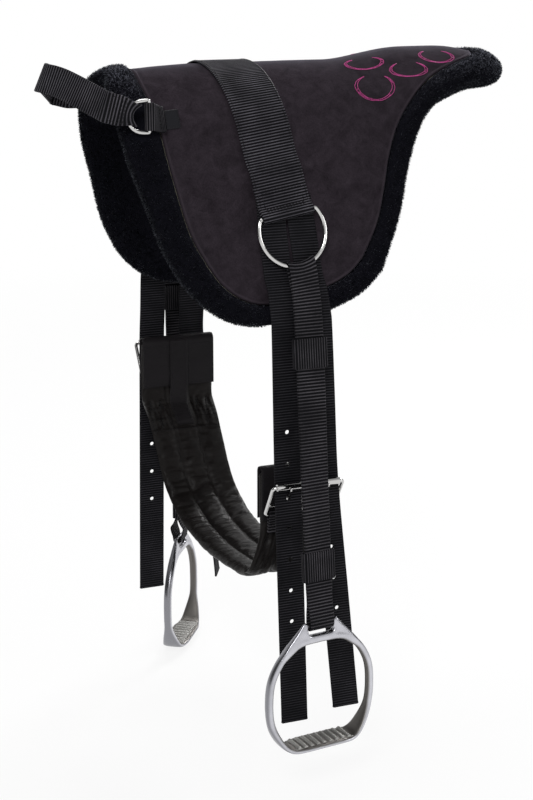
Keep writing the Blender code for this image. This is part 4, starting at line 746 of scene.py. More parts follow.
def handle_end_rows(side):
    """Rows of the handle's folded end round a front ring, from its sewn end to the outer layer."""
    sign = SIDES[side]
    frame = front_ring_frame(side)
    turned = frame @ Matrix.Rotation(HANDLE_ROOT_PITCH, 4, "Y")
    fold = FRONT_RING_WIRE_RADIUS + HANDLE_LOOP_GAP + WEB_THICKNESS / 2
    settled = WEB_THICKNESS + GAP
    rows = [handle_row(turned, HANDLE_TURNBACK, sign * (fold - settled), 0.0),
            handle_row(turned, HANDLE_TURNBACK * 0.7, sign * (fold - settled), 0.0),
            handle_row(turned, HANDLE_TURNBACK * 0.35, -sign * fold * 0.7, 0.15)]
    for step in range(FOLD_STEPS + 1):
        angle = math.pi * step / FOLD_STEPS
        rows.append(handle_row(turned, -fold * math.sin(angle), -sign * fold * math.cos(angle), 1.0))
    rows.append(handle_row(turned, HANDLE_TURNBACK * 0.35, sign * fold, 0.15))
    rows.append(handle_row(turned, HANDLE_TURNBACK * 0.7, sign * fold, 0.0))
    rows.append(handle_row(turned, HANDLE_TURNBACK, sign * fold, 0.0))
    return rows


def handle_row(turned, away, out, hold):
    """A row across the handle near a front ring; hold is how far it follows the ring's curve."""
    width = HANDLE_END_WIDTH + (WEB_WIDTH - HANDLE_END_WIDTH) * (1 - hold)
    radius = FRONT_RING_RADIUS + min(away, 0.0)
    row = []
    for share in (-0.5, -0.25, 0.0, 0.25, 0.5):
        curved = math.sqrt(radius ** 2 - (HANDLE_END_WIDTH * share) ** 2)
        reach = radius + (curved - radius) * hold + max(away, 0.0)
        row.append(turned @ Vector((-reach, out, width * share)))
    return row


def handle_rows():
    """Grab handle: one webbing strap from ring to ring, its ends folded back and sewn."""
    left = handle_end_rows("left")
    right = handle_end_rows("right")[::-1]
    start, finish = left[-1], right[0]
    reach_x = FRONT_RING_BAR_X - HANDLE_REACH
    top_z = front_ring_frame("left").translation.z + HANDLE_RISE
    middle = Vector((reach_x, 0.0, top_z))
    centre_start, centre_finish = start[2], finish[2]
    knee_x = middle.x + HANDLE_REACH * 0.16
    knee = 0.17 * (centre_finish.y - centre_start.y)
    path = curve([centre_start, Vector((knee_x, -knee, top_z - HANDLE_RISE * 0.12)), middle,
                  Vector((knee_x, knee, top_z - HANDLE_RISE * 0.12)), centre_finish], HANDLE_STEPS)
    start_across = (start[4] - start[0]).normalized()
    finish_across = (finish[4] - finish[0]).normalized()
    rows = []
    for index in range(1, HANDLE_STEPS):
        share = index / HANDLE_STEPS
        blend_start = 1 - smooth(share / 0.3)
        blend_finish = 1 - smooth((1 - share) / 0.3)
        across = start_across * blend_start + finish_across * blend_finish
        leaning = UP * math.cos(HANDLE_LEAN) + BACK * math.sin(HANDLE_LEAN)
        across += leaning * (1 - blend_start - blend_finish)
        along = (path[index + 1] - path[index - 1]).normalized()
        across = (across - along * across.dot(along)).normalized()
        rows.append([path[index] + across * WEB_WIDTH * share_across
                     for share_across in (-0.5, -0.25, 0.0, 0.25, 0.5)])
    return left + rows + right


# Materials

def linear(code):
    """Linear colour of an sRGB hex value."""
    parts = [int(code[k:k + 2], 16) / 255 for k in (1, 3, 5)]
    return tuple(p / 12.92 if p <= 0.04045 else ((p + 0.055) / 1.055) ** 2.4 for p in parts) + (1.0,)


def link(tree, node, sources):
    """Feeds a node's inputs, each from a socket or from another node's first output."""
    for name, source in sources.items():
        tree.links.new(getattr(source, "outputs", [source])[0], node.inputs[name])


def add_node(tree, kind, settings=None, links=None):
    """One shader node with its settings and what feeds its inputs."""
    node = tree.nodes.new("ShaderNode" + kind)
    for name, value in (settings or {}).items():
        if name in node.inputs:
            node.inputs[name].default_value = value
        else:
            setattr(node, name, value)
    link(tree, node, links or {})
    return node


def new_finish(name, coordinates, settings):
    """A material with its surface set, and the coordinates that its patterns use."""
    material = bpy.data.materials.new(name)
    material.use_nodes = True
    tree = material.node_tree
    surface = tree.nodes["Principled BSDF"]
    for key, value in settings.items():
        surface.inputs[key].default_value = value
    return material, tree, surface, add_node(tree, "TexCoord").outputs[coordinates]


def brushed_suede():
    """Polyester microfibre suede, needled and brushed: a matt nap with soft marks where a hand has passed."""
    material, tree, surface, place = new_finish("brushed_microfibre_suede", "Object", {
        "Roughness": 0.95, "Specular IOR Level": 0.02, "Sheen Weight": 0.75, "Sheen Roughness": 0.26,
        "Sheen Tint": linear("#8f8d9b")})
    marks = add_node(tree, "TexNoise", {"Scale": 60.0, "Detail": 6.0, "Roughness": 0.72, "Distortion": 0.5},
                     {"Vector": place})
    patches = add_node(tree, "MapRange", {"From Min": 0.27, "From Max": 0.75}, {"Value": marks})
    cloth = add_node(tree, "MixRGB", {"Color1": linear("#1f1b1f"), "Color2": linear("#352f35")},
                     {"Fac": patches})
    # Nap tufts are 0.2 mm apart; drawn 1.4 mm apart to show
    nap = add_node(tree, "TexNoise", {"Scale": 720.0, "Detail": 2.0, "Roughness": 0.7}, {"Vector": place})
    fleck = add_node(tree, "MixRGB", {"blend_type": "SOFT_LIGHT", "Fac": 0.55},
                     {"Color1": cloth, "Color2": nap})
    # The bead along the seam, with a painted highlight
    painted_bead_highlight = add_node(tree, "Attribute", {"attribute_name": "painted_bead_highlight"}).outputs["Fac"]
    with_painted_highlight = add_node(tree, "MixRGB", {"Color2": linear("#393339")}, {"Fac": painted_bead_highlight, "Color1": fleck})
    bump = add_node(tree, "Bump", {"Strength": 0.35, "Distance": 0.0004}, {"Height": nap})
    link(tree, surface, {"Base Color": with_painted_highlight, "Normal": bump})
    return material


def plush_backing():
    """Knitted backing of the plush under its pile: all but black between the tufts."""
    material, tree, surface, place = new_finish("knitted_plush_backing", "Object", {
        "Roughness": 1.0, "Specular IOR Level": 0.02})
    # Knitted loops 1.6 mm apart
    loops = add_node(tree, "TexVoronoi", {"Scale": 620.0}, {"Vector": place})
    colour = add_node(tree, "MixRGB", {"Color1": linear("#0b0b0f"), "Color2": linear("#15151b")},
                      {"Fac": loops})
    bump = add_node(tree, "Bump", {"Strength": 0.6, "Distance": 0.0008}, {"Height": loops})
    link(tree, surface, {"Base Color": colour, "Normal": bump})
    return material


def plush_pile():
    """Acrylic pile, cut and tumbled into locks: painted shade at the root, a little lighter and bluish at the
    tips, and a painted sheen where the tips face up.
    """
    material, tree, surface, place = new_finish("cut_acrylic_pile", "Object", {
        "Roughness": 0.85, "Specular IOR Level": 0.03, "Sheen Weight": 0.5, "Sheen Roughness": 0.4,
        "Sheen Tint": linear("#82868f")})
    # Dark at the root, lighter at the tip: painted shade down in the pile
    tip = add_node(tree, "Attribute", {"attribute_name": "tip"}).outputs["Fac"]
    fibre = add_node(tree, "MixRGB", {"Color1": linear("#08090c"), "Color2": linear("#17181e")}, {"Fac": tip})
    # Locks 9 mm apart
    locks = add_node(tree, "TexNoise", {"Scale": 110.0, "Detail": 3.0}, {"Vector": place})
    light = add_node(tree, "MapRange", {"From Min": 0.45, "From Max": 0.75}, {"Value": locks})
    colour = add_node(tree, "MixRGB", {"Color2": linear("#23242b")}, {"Fac": light, "Color1": fibre})
    # Painted sheen on the tips that face up
    painted_top_sheen = add_node(tree, "Attribute", {"attribute_name": "open"}).outputs["Fac"]
    colour_with_painted_sheen = add_node(tree, "MixRGB", {"Color2": linear("#5b5c66")}, {"Fac": painted_top_sheen, "Color1": colour})
    link(tree, surface, {"Base Color": colour_with_painted_sheen})
    return material


def ribbed_webbing(name, crest_highlight):
    """Nylon webbing, woven with heavy cross ribs: grey crests, partly wear and partly painted highlight, over
    valleys painted black as shade.
    """
    material, tree, surface, place = new_finish(name, "UV", {
        "Specular IOR Level": 0.06, "Sheen Weight": 0.03, "Sheen Roughness": 0.4,
        "Sheen Tint": linear("#8b8a94")})
    # One dark band each 3.5 mm, in step with the modelled ribs: painted shade in the valleys, painted
    # highlight on the crests
    waves = add_node(tree, "TexWave", {"Scale": math.tau / 20 / RIB_PITCH}, {"Vector": place}).outputs["Fac"]
    ribs = add_node(tree, "MapRange", {"From Min": 0.5, "From Max": 1.0}, {"Value": waves})
    # Wear on the crests, in patches 30 mm apart, which also makes their painted highlight stronger and weaker
    spots = add_node(tree, "TexNoise", {"Scale": 34.0, "Detail": 3.0},
                     {"Vector": add_node(tree, "TexCoord").outputs["Object"]})
    wear = add_node(tree, "MapRange", {"From Min": 0.3, "From Max": 0.7, "To Min": 0.4, "To Max": 1.15},
                    {"Value": spots})
    # Painted highlight on the crests, scaled by the patches of wear
    painted_light = add_node(tree, "Math", {"operation": "MULTIPLY"}, {0: ribs, 1: wear})
    colour = add_node(tree, "MixRGB", {"Color1": linear("#0a0a0d"), "Color2": linear(crest_highlight)}, {"Fac": painted_light})
    # Warp yarns 0.9 mm apart across the strap, broken along it each 2 mm
    stretch = add_node(tree, "Mapping", {"Scale": (500.0, 1100.0, 1.0)}, {"Vector": place})
    yarns = add_node(tree, "TexNoise", {"Scale": 1.0, "Detail": 2.0}, {"Vector": stretch})
    with_painted_highlight = add_node(tree, "MixRGB", {"blend_type": "OVERLAY", "Fac": 0.5},
                    {"Color1": colour, "Color2": yarns})
    gloss = add_node(tree, "MapRange", {"To Min": 0.48, "To Max": 0.72}, {"Value": yarns})
    bump = add_node(tree, "Bump", {"Strength": 0.5, "Distance": 0.0003}, {"Height": yarns})
    link(tree, surface, {"Base Color": with_painted_highlight, "Roughness": gloss, "Normal": bump})
    return material


def melted_nylon():
    """Webbing sealed with a hot knife: a glassy black bead with a few bubbles."""
    material, tree, surface, place = new_finish("heat_sealed_nylon", "Object", {
        "Base Color": linear("#0e0d0f"), "Specular IOR Level": 0.15})
    bubbles = add_node(tree, "TexNoise", {"Scale": 900.0, "Detail": 1.0}, {"Vector": place})
    gloss = add_node(tree, "MapRange", {"To Min": 0.25, "To Max": 0.6}, {"Value": bubbles})
    bump = add_node(tree, "Bump", {"Strength": 0.4, "Distance": 0.0003}, {"Height": bubbles})
    link(tree, surface, {"Roughness": gloss, "Normal": bump})
    return material


def girth_taffeta(name, dark, light):
    """Coated nylon taffeta, plain woven: a low satin gloss that lights up on each crease."""
    material, tree, surface, place = new_finish(name, "UV", {
        "Specular IOR Level": 0.1, "Sheen Weight": 0.03, "Sheen Roughness": 0.3,
        "Sheen Tint": linear("#9c938c")})
    clouds = add_node(tree, "TexNoise", {"Scale": 28.0, "Detail": 3.0}, {"Vector": place})
    cloth = add_node(tree, "MixRGB", {"Color1": linear(dark), "Color2": linear(light)}, {"Fac": clouds})
    # Yarns are 0.25 mm apart; drawn 1.1 mm apart to show
    weft, warp = (add_node(tree, "TexWave", {"Scale": math.tau / 20 / 0.0011, "bands_direction": direction,
                                             "Distortion": 0.6, "Detail": 1.0}, {"Vector": place})
                  for direction in "XY")
    weave = add_node(tree, "MixRGB", {"blend_type": "MULTIPLY", "Fac": 1.0}, {"Color1": weft, "Color2": warp})
    gloss = add_node(tree, "MapRange", {"To Min": 0.32, "To Max": 0.5}, {"Value": clouds})
    # Puckers across the channels, 7 mm apart and 60 mm long
    across = add_node(tree, "Mapping", {"Scale": (140.0, 17.0, 1.0)}, {"Vector": place})
    puckers = add_node(tree, "TexNoise", {"Scale": 1.0, "Detail": 3.0}, {"Vector": across})
    ruck = add_node(tree, "Bump", {"Strength": 0.8, "Distance": 0.0016}, {"Height": puckers})
    bump = add_node(tree, "Bump", {"Strength": 0.16, "Distance": 0.0003}, {"Height": weave, "Normal": ruck})
    link(tree, surface, {"Base Color": cloth, "Roughness": gloss, "Normal": bump})
    return material


def twisted_thread(name, dark, light):
    """Polyester sewing thread, two plies twisted: fine slanted highlights along each stitch."""
    material, tree, surface, place = new_finish(name, "Object", {
        "Roughness": 0.5, "Specular IOR Level": 0.15, "Sheen Weight": 0.15, "Sheen Tint": linear(light)})
    # Twist 0.8 mm a turn
    plies = add_node(tree, "TexNoise", {"Scale": 1300.0, "Detail": 1.0}, {"Vector": place})
    colour = add_node(tree, "MixRGB", {"Color1": linear(dark), "Color2": linear(light)}, {"Fac": plies})
    bump = add_node(tree, "Bump", {"Strength": 0.4, "Distance": 0.0002}, {"Height": plies})
    link(tree, surface, {"Base Color": colour, "Normal": bump})
    return material


def chrome_plate():
    """Steel wire, polished and chrome plated: a mirror with faint hairlines from handling."""
    material, tree, surface, place = new_finish("polished_chrome_plate", "Object", {
        "Base Color": linear("#c8c7c6"), "Metallic": 1.0})
    # Hairlines 2 mm apart, and hazy patches 15 mm apart
    haze = add_node(tree, "TexNoise", {"Scale": 65.0, "Detail": 3.0}, {"Vector": place})
    hairs = add_node(tree, "TexNoise", {"Scale": 480.0, "Detail": 4.0}, {"Vector": place})
    gloss = add_node(tree, "MapRange", {"From Min": 0.3, "From Max": 0.8, "To Min": 0.06, "To Max": 0.2},
                     {"Value": haze})
    bump = add_node(tree, "Bump", {"Strength": 0.04, "Distance": 0.0002}, {"Height": hairs})
    link(tree, surface, {"Roughness": gloss, "Normal": bump})
    return material


def cast_aluminium():
    """Aluminium, sand cast and barrel polished: bright on the rounds, greyer and pitted in the corners, with
    a painted dark reflection on the outside.
    """
    material, tree, surface, place = new_finish("polished_cast_aluminium", "Object", {"Metallic": 1.0})
    # Casting clouds 25 mm apart, polishing pits 2.5 mm apart
    clouds = add_node(tree, "TexNoise", {"Scale": 40.0, "Detail": 2.0}, {"Vector": place})
    pits = add_node(tree, "TexNoise", {"Scale": 400.0, "Detail": 3.0}, {"Vector": place})
    colour = add_node(tree, "MixRGB", {"Color1": linear("#a0a0a6"), "Color2": linear("#e0e0e6")},
                      {"Fac": clouds})
    gloss = add_node(tree, "MapRange", {"From Min": 0.3, "From Max": 0.7, "To Min": 0.34, "To Max": 0.16},
                     {"Value": clouds})
    bump = add_node(tree, "Bump", {"Strength": 0.05, "Distance": 0.0003}, {"Height": pits})
    # Round the outside, a painted dark reflection
    rim = add_node(tree, "Attribute", {"attribute_name": "rim"}).outputs["Fac"]
    painted_light = add_node(tree, "MixRGB", {"Color2": linear("#8a8a8f")}, {"Fac": rim, "Color1": colour})
    # Inside the bow, left as cast: darker, warmer and dull
    raw = add_node(tree, "Attribute", {"attribute_name": "raw"}).outputs["Fac"]
    skin = add_node(tree, "MixRGB", {"Color2": linear("#6f6c69")}, {"Fac": raw, "Color1": painted_light})
    dull = add_node(tree, "MixRGB", {"Color2": (0.5, 0.5, 0.5, 1.0)}, {"Fac": raw, "Color1": gloss})
    link(tree, surface, {"Base Color": skin, "Roughness": dull, "Normal": bump})
    return material


def cast_tread():
    """The tread's grip face, left as cast: sandy, dull and a little yellow."""
    material, tree, surface, place = new_finish("sand_cast_tread", "Object", {
        "Metallic": 1.0, "Roughness": 0.55})
    # Sand grains 1.2 mm across, drawn coarse
    sand = add_node(tree, "TexNoise", {"Scale": 850.0, "Detail": 3.0}, {"Vector": place})
    colour = add_node(tree, "MixRGB", {"Color1": linear("#8e8d8a"), "Color2": linear("#bcbbb8")},
                      {"Fac": sand})
    bump = add_node(tree, "Bump", {"Strength": 0.5, "Distance": 0.0004}, {"Height": sand})
    link(tree, surface, {"Base Color": colour, "Normal": bump})
    return material


def label_satin():
    """Polyester label, woven as black satin: smooth, with a fine twill slant."""
    material, tree, surface, place = new_finish("woven_satin_label", "UV", {
        "Roughness": 0.38, "Specular IOR Level": 0.15, "Sheen Weight": 0.05, "Sheen Tint": linear("#9a9aa0")})
    # Twill lines 0.9 mm apart
    twill = add_node(tree, "TexWave", {"Scale": math.tau / 20 / 0.0009, "bands_direction": "DIAGONAL"},
                     {"Vector": place}).outputs["Fac"]
    colour = add_node(tree, "MixRGB", {"Color1": linear("#0e0e12"), "Color2": linear("#1a1a1f")},
                      {"Fac": twill})
    bump = add_node(tree, "Bump", {"Strength": 0.25, "Distance": 0.0002}, {"Height": twill})
    link(tree, surface, {"Base Color": colour, "Normal": bump})
    return material


def open_cell_foam():
    """Polyurethane foam, slabstock cut to 8 mm: cream, with open cells."""
    material, tree, surface, place = new_finish("cut_polyurethane_foam", "Object", {"Roughness": 0.9})
    # Cells 1.3 mm across
    cells = add_node(tree, "TexVoronoi", {"Scale": 770.0}, {"Vector": place})
    colour = add_node(tree, "MixRGB", {"Color1": linear("#8d8773"), "Color2": linear("#d8d2bd")},
                      {"Fac": cells})
    bump = add_node(tree, "Bump", {"Strength": 0.8, "Distance": 0.0006}, {"Height": cells})
    link(tree, surface, {"Base Color": colour, "Normal": bump})
    return material


def make_finishes():
    return {
        "suede": brushed_suede(),
        "backing": plush_backing(),
        "pile": plush_pile(),
        # Three copies of one webbing that differ only in the crests' painted highlight: lighter on the band
        # and handle, darker on the billets
        "webbing": ribbed_webbing("woven_nylon_webbing", "#4a484c"),
        "wide": ribbed_webbing("wide_nylon_webbing_lighter_painted_crests", "#57555b"),
        "billet": ribbed_webbing("tight_woven_nylon_webbing_darker_painted_crests", "#333236"),
        "melted": melted_nylon(),
        "taffeta": girth_taffeta("coated_nylon_taffeta", "#110f0f", "#1a1716"),
        "binding": girth_taffeta("nylon_binding_cloth", "#171517", "#1d1b1d"),
        "thread": twisted_thread("black_polyester_thread", "#0a0a0c", "#19181b"),
        "embroidery": twisted_thread("pink_embroidery_thread", "#a82d76", "#e262aa"),
        "chrome": chrome_plate(),
        "aluminium": cast_aluminium(),
        "tread": cast_tread(),
        "label": label_satin(),
        "foam": open_cell_foam(),
    }


# Meshes

def new_object(name, data):
    thing = bpy.data.objects.new(name, data)
    bpy.context.scene.collection.objects.link(thing)
    return thing


def add_piece(name, points, faces, finish, uv=None):
    mesh = bpy.data.meshes.new(name)
    mesh.from_pydata(np.asarray(points, float).tolist(), [], faces)
    if uv is not None:
        mesh.uv_layers.new(name="weave").data.foreach_set("uv", np.asarray(uv, np.float32).ravel())
    mesh.materials.append(finish)
    mesh.shade_smooth()
    return new_object(name, mesh)


def unit(vectors):
    return vectors / np.maximum(np.linalg.norm(vectors, axis=-1, keepdims=True), 1e-12)


def face_outward(mesh):
    work = bmesh.new()
    work.from_mesh(mesh)
    bmesh.ops.recalc_face_normals(work, faces=work.faces)
    work.to_mesh(mesh)
    work.free()


def loft(name, rings, finish, closed=False, along=None):
    """A skin over closed sections; its UV is the distance along and round, in metres."""
    rings = np.asarray(rings, float)
    count, sides = rings.shape[:2]
    spans = count if closed else count - 1
    i, j = (index.ravel() for index in np.meshgrid(np.arange(spans), np.arange(sides), indexing="ij"))
    i2, j2 = (i + 1) % count, (j + 1) % sides
    quads = np.stack([i * sides + j, i2 * sides + j, i2 * sides + j2, i * sides + j2], axis=1)
    if along is None:
        along = np.cumsum(np.linalg.norm(np.roll(rings, -1, axis=0) - rings, axis=2).mean(axis=1))
        along = np.concatenate([[0.0], along])
    around = np.cumsum(np.linalg.norm(np.roll(rings, -1, axis=1) - rings, axis=2).mean(axis=0))
    around = np.concatenate([[0.0], around])
    corners = [(i, j), (i + 1, j), (i + 1, j + 1), (i, j + 1)]
    uv = np.stack([np.stack([along[a], around[b]], axis=1) for a, b in corners], axis=1).reshape(-1, 2)
    faces = quads.tolist()
    if not closed:
        faces += [list(range(sides))[::-1], list(range((count - 1) * sides, count * sides))]
        uv = np.vstack([uv, np.zeros((2 * sides, 2))])
    piece = add_piece(name, rings.reshape(-1, 3), faces, finish, uv)
    face_outward(piece.data)
    return piece


def read(items, name, width, kind=float):
    """What a mesh says of its points or edges, as rows of numbers."""
    values = np.zeros(len(items) * width, dtype=kind)
    items.foreach_get(name, values)
    return values.reshape(-1, width)


def paint(mesh, name, values):
    """A number for each point of a mesh, which its material reads."""
    mesh.attributes.new(name, "FLOAT", "POINT").data.foreach_set("value", np.asarray(values, np.float32))


def applied(piece):
    """The mesh that a piece's modifiers give."""
    bpy.context.view_layer.update()
    return bpy.data.meshes.new_from_object(piece.evaluated_get(bpy.context.evaluated_depsgraph_get()))


def circle(sides, out, up):
    """Directions round a section, for whole arrays of its two axes."""
    angles = np.linspace(0, math.tau, sides, endpoint=False)[None, :, None]
    return np.cos(angles) * out[:, None] + np.sin(angles) * up[:, None]


def ring_faces(a, b):
    """Quads between two closed loops of point numbers."""
    return np.stack([a, np.roll(a, -1), np.roll(b, -1), b], axis=1)


def tube(name, path, radius, finish, closed=False, sides=20, flat=None):
    """A round wire along a path."""
    path = np.array([tuple(p) for p in path])
    if closed:
        along = unit(np.roll(path, -1, axis=0) - np.roll(path, 1, axis=0))
    else:
        along = unit(np.gradient(path, axis=0))
    if flat is None:
        flat = unit(np.cross(path[len(path) // 3] - path[0], path[2 * len(path) // 3] - path[0])[None])[0]
    out = unit(np.cross(along, flat))
    radii = np.broadcast_to(np.asarray(radius, float), len(path))[:, None, None]
    return loft(name, path[:, None] + radii * circle(sides, out, np.cross(out, along)), finish, closed)


def fillet(path, closed, spacing):
    """Evenly spaced points along a path of short straight lengths, slightly smoothed."""
    points = np.array([tuple(p) for p in path])
    if closed:
        points = np.vstack([points, points[:1]])
    lengths = np.concatenate([[0.0], np.cumsum(np.linalg.norm(np.diff(points, axis=0), axis=1))])
    steps = max(4, int(lengths[-1] / spacing))
    stations = np.linspace(0, lengths[-1], steps + 1)[:steps if closed else None]
    even = np.column_stack([np.interp(stations, lengths, points[:, k]) for k in range(3)])
    for _ in range(3):
        softer = (np.roll(even, 1, axis=0) + 2 * even + np.roll(even, -1, axis=0)) / 4
        if not closed:
            softer[0], softer[-1] = even[0], even[-1]
        even = softer
    return even


def dress(piece, body, slot, *nodes):
    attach(piece, body)
    if nodes:
        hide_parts(*nodes)
    return piece


class Strip:
    """A strap's middle surface: rows at equal distances along it, with the normals of its outer face."""

    def __init__(self, rows, shares, spacing, loop=False):
        knots = np.array([[tuple(p) for p in row] for row in rows])
        count, columns = knots.shape[:2]
        if loop:
            knots = np.concatenate([knots[-1:], knots, knots[:2]])
        else:
            knots = np.concatenate([2 * knots[:1] - knots[1:2], knots, 2 * knots[-1:] - knots[-2:-1]])
        steps = np.diff(knots, axis=0)
        size = np.linalg.norm(steps[:, columns // 2], axis=1)[:, None, None] + 1e-9
        before, after = size[:-1], size[1:]
        slope = (steps[:-1] / before * after + steps[1:] / after * before) / (before + after)
        reach = slope * np.minimum(before, after)
        spans = count if loop else count - 1
        t = (np.arange(8) / 8)[None, :, None, None]
        a, b = knots[1:spans + 1, None], knots[2:spans + 2, None]
        va, vb = reach[:spans, None], reach[1:spans + 1, None]
        dense = ((2 * t ** 3 - 3 * t ** 2 + 1) * a + (t ** 3 - 2 * t ** 2 + t) * va
                 + (3 * t ** 2 - 2 * t ** 3) * b + (t ** 3 - t ** 2) * vb)
        dense = dense.reshape(-1, columns, 3)
        dense = np.concatenate([dense, knots[spans + 1:spans + 2]])
        lengths = np.linalg.norm(np.diff(dense[:, columns // 2], axis=0), axis=1)
        lengths = np.concatenate([[0.0], np.cumsum(lengths)])
        self.length = lengths[-1]
        ribs = max(2, round(self.length / (spacing * ROWS_PER_RIB)))
        self.steps = ribs * ROWS_PER_RIB
        self.stations = np.linspace(0, self.length, self.steps + 1)
        flat = dense.reshape(len(dense), -1)
        even = np.stack([np.interp(self.stations, lengths, flat[:, k]) for k in range(flat.shape[1])], axis=1)
        even = even.reshape(-1, columns, 3)
        self.shares = np.array(shares)
        place = self.shares * (columns - 1)
        low = np.minimum(place.astype(int), columns - 2)
        part = (place - low)[None, :, None]
        self.points = even[:, low] * (1 - part) + even[:, low + 1] * part
        self.loop = loop
        if loop:
            body = self.points[:-1]
            along = np.roll(body, -1, axis=0) - np.roll(body, 1, axis=0)
            along = np.concatenate([along, along[:1]])
        else:
            along = np.gradient(self.points, axis=0)
        self.normals = unit(np.cross(along, np.gradient(self.points, axis=1)))

    def at(self, distance, share):
        """Point and normal at a distance along the strap and a share across it."""
        row = min(max(distance / self.length, 0.0), 1.0) * self.steps
        low = min(int(row), self.steps - 1)
        points = self.points[low] * (low + 1 - row) + self.points[low + 1] * (row - low)
        point = np.array([np.interp(share, self.shares, points[:, k]) for k in range(3)])
        normal = np.array([np.interp(share, self.shares, self.normals[low][:, k]) for k in range(3)])
        return point, unit(normal)

    def facing(self, distance, outward):
        """1 where the strap's outer face looks the given way, -1 where its inner face does."""
        return 1.0 if self.at(distance, 0.5)[1] @ np.array(outward) > 0 else -1.0


def weave(name, rows, finish, loop=False, thickness=WEB_THICKNESS, sealed=(False, False), pitch=RIB_PITCH,
          depth=RIB_DEPTH):
    """A strap with its cross ribs in the mesh, dying out at its edges and sealed ends; depth 0 is plain."""
    shares, fullness, rib_share = (np.array(column) for column in zip(*STRAP_SECTION))
    strip = Strip(rows, shares, pitch / ROWS_PER_RIB, loop)
    stations = strip.stations
    pitch = strip.length / (strip.steps / ROWS_PER_RIB)
    valley = 1 - np.abs(np.sin(math.pi * stations / pitch)) ** 1.5
    fade = np.ones(len(stations))
    swell = np.zeros(len(stations))
    for end, far in zip(sealed, (stations, strip.length - stations)):
        if end:
            fade *= np.clip((far - 0.002) / 0.003, 0, 1)
            swell += 0.00025 * np.clip(1 - far / 0.0028, 0, 1) ** 0.5
            # The hot knife spreads the end a little and rounds its corners
            spread = 0.03 * np.clip(1 - far / 0.003, 0, 1) - 0.06 * np.clip(1 - far / 0.0008, 0, 1)
            middle = strip.points[:, len(shares) // 2:len(shares) // 2 + 1]
            strip.points = strip.points + (strip.points - middle) * spread[:, None, None]
    half = thickness / 2 * fullness[None, :] + swell[:, None]
    half = (half - depth * (valley * fade)[:, None] * rib_share[None, :])[:, :, None]
    rise = strip.normals * half
    rings = np.concatenate([strip.points + rise, (strip.points - rise)[:, ::-1]], axis=1)
    along = stations * RIB_PITCH / pitch if depth else stations
    return loft(name, rings[:-1] if loop else rings, finish, loop, along), strip


def sew(name, body, runs, finish, radius=STITCH_RADIUS):
    """Separate stitches, each diving into the cloth at its ends; a run is rows of start, end and outward."""
    starts, ends, outward = (np.concatenate([np.array(run)[:, k] for run in runs]) for k in range(3))
    direction = ends - starts
    side = unit(np.cross(direction, outward))
    up = unit(np.cross(side, direction))
    rings = []
    for share, size, lift in ((0.0, 0.5, -1.0), (0.14, 0.95, 0.1), (0.5, 1.0, 0.4), (0.86, 0.95, 0.1),
                              (1.0, 0.5, -1.0)):
        centre = starts + direction * share + up * radius * lift
        rings.append(centre[:, None] + radius * size * circle(6, side, up))
    points = np.stack(rings, axis=1).reshape(-1, 3)
    first = np.arange(6)
    one = np.concatenate([ring_faces(first + ring, first + ring + 6) for ring in (0, 6, 12, 18)])
    quads = (one[None] + (np.arange(len(starts)) * 30)[:, None, None]).reshape(-1, 4)
    piece = add_piece(name, points, quads.tolist(), finish)
    face_outward(piece.data)
    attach(piece, body)


def stitch_run(strip, start, end, face=1.0, lift=WEB_THICKNESS / 2, pitch=STITCH_PITCH, length=STITCH_LENGTH):
    """Stitches in line between two places on a strap, each given as distance along and share across."""
    a, _ = strip.at(*start)
    b, _ = strip.at(*end)
    size = abs(end[0] - start[0])
    if size <= 0.004:
        size = np.linalg.norm(b - a)
    number = max(1, int(size / pitch))
    run = []
    for index in range(number):
        ends = []
        for share in (index / number, index / number + length / size):
            place = (start[0] + (end[0] - start[0]) * share, start[1] + (end[1] - start[1]) * share)
            point, normal = strip.at(*place)
            ends.append((point + normal * face * lift, normal * face))
        run.append((ends[0][0], ends[1][0], ends[0][1]))
    return run


def box_stitch(strip, first, last, low=0.1, high=0.9, face=1.0, lift=WEB_THICKNESS / 2, rows=()):
    """A sewn rectangle on a strap, with more rows across it."""
    runs = [stitch_run(strip, (first, low), (last, low), face, lift),
            stitch_run(strip, (first, high), (last, high), face, lift)]
    for distance in (first, last, *rows):
        runs.append(stitch_run(strip, (distance, low), (distance, high), face, lift))
    return runs


def uneven(point, scale, seed=0.0):
    """Smooth noise between about -1 and 1 at a point; scale is its wavelength in metres."""
    return noise.noise(Vector((point[0] / scale + seed, point[1] / scale - seed, point[2] / scale)))


# Pad

def pad_points(x, drop, height):
    """Points over the pad for whole arrays of places."""
    x, drop, height = np.broadcast_arrays(np.asarray(x, float), drop, height)
    turn = np.minimum(np.abs(drop) / RIDGE_RADIUS, FLAP_ANGLE)
    flat = np.abs(drop) - RIDGE_RADIUS * turn
    y = (RIDGE_RADIUS + height) * np.sin(turn) + flat * np.cos(turn)
    z = (RIDGE_RADIUS + height) * np.cos(turn) - RIDGE_RADIUS - flat * np.sin(turn)
    rise = np.array([ridge_rise(value / PAD_LENGTH) for value in x.ravel()]).reshape(x.shape)
    return np.stack([x, np.where(drop < 0, -y, y), PAD_THICKNESS + rise + z], axis=-1)


def outline(front_shares, lower_shares, rear_shares, along, across):
    """The four sides of one pad outline as flat (x, drop) points."""
    def flat(shares, side=1.0):
        return [Vector((x * PAD_LENGTH, drop * FLAP_DROP * side, 0.0)) for x, drop in shares]
    sides = (curve(flat(front_shares[::-1], -1.0)[:-1] + flat(front_shares), across),
             curve(flat(rear_shares[::-1], -1.0)[:-1] + flat(rear_shares), across),
             curve(flat(lower_shares, -1.0), along), curve(flat(lower_shares), along))
    return [np.array([tuple(p)[:2] for p in side]) for side in sides]


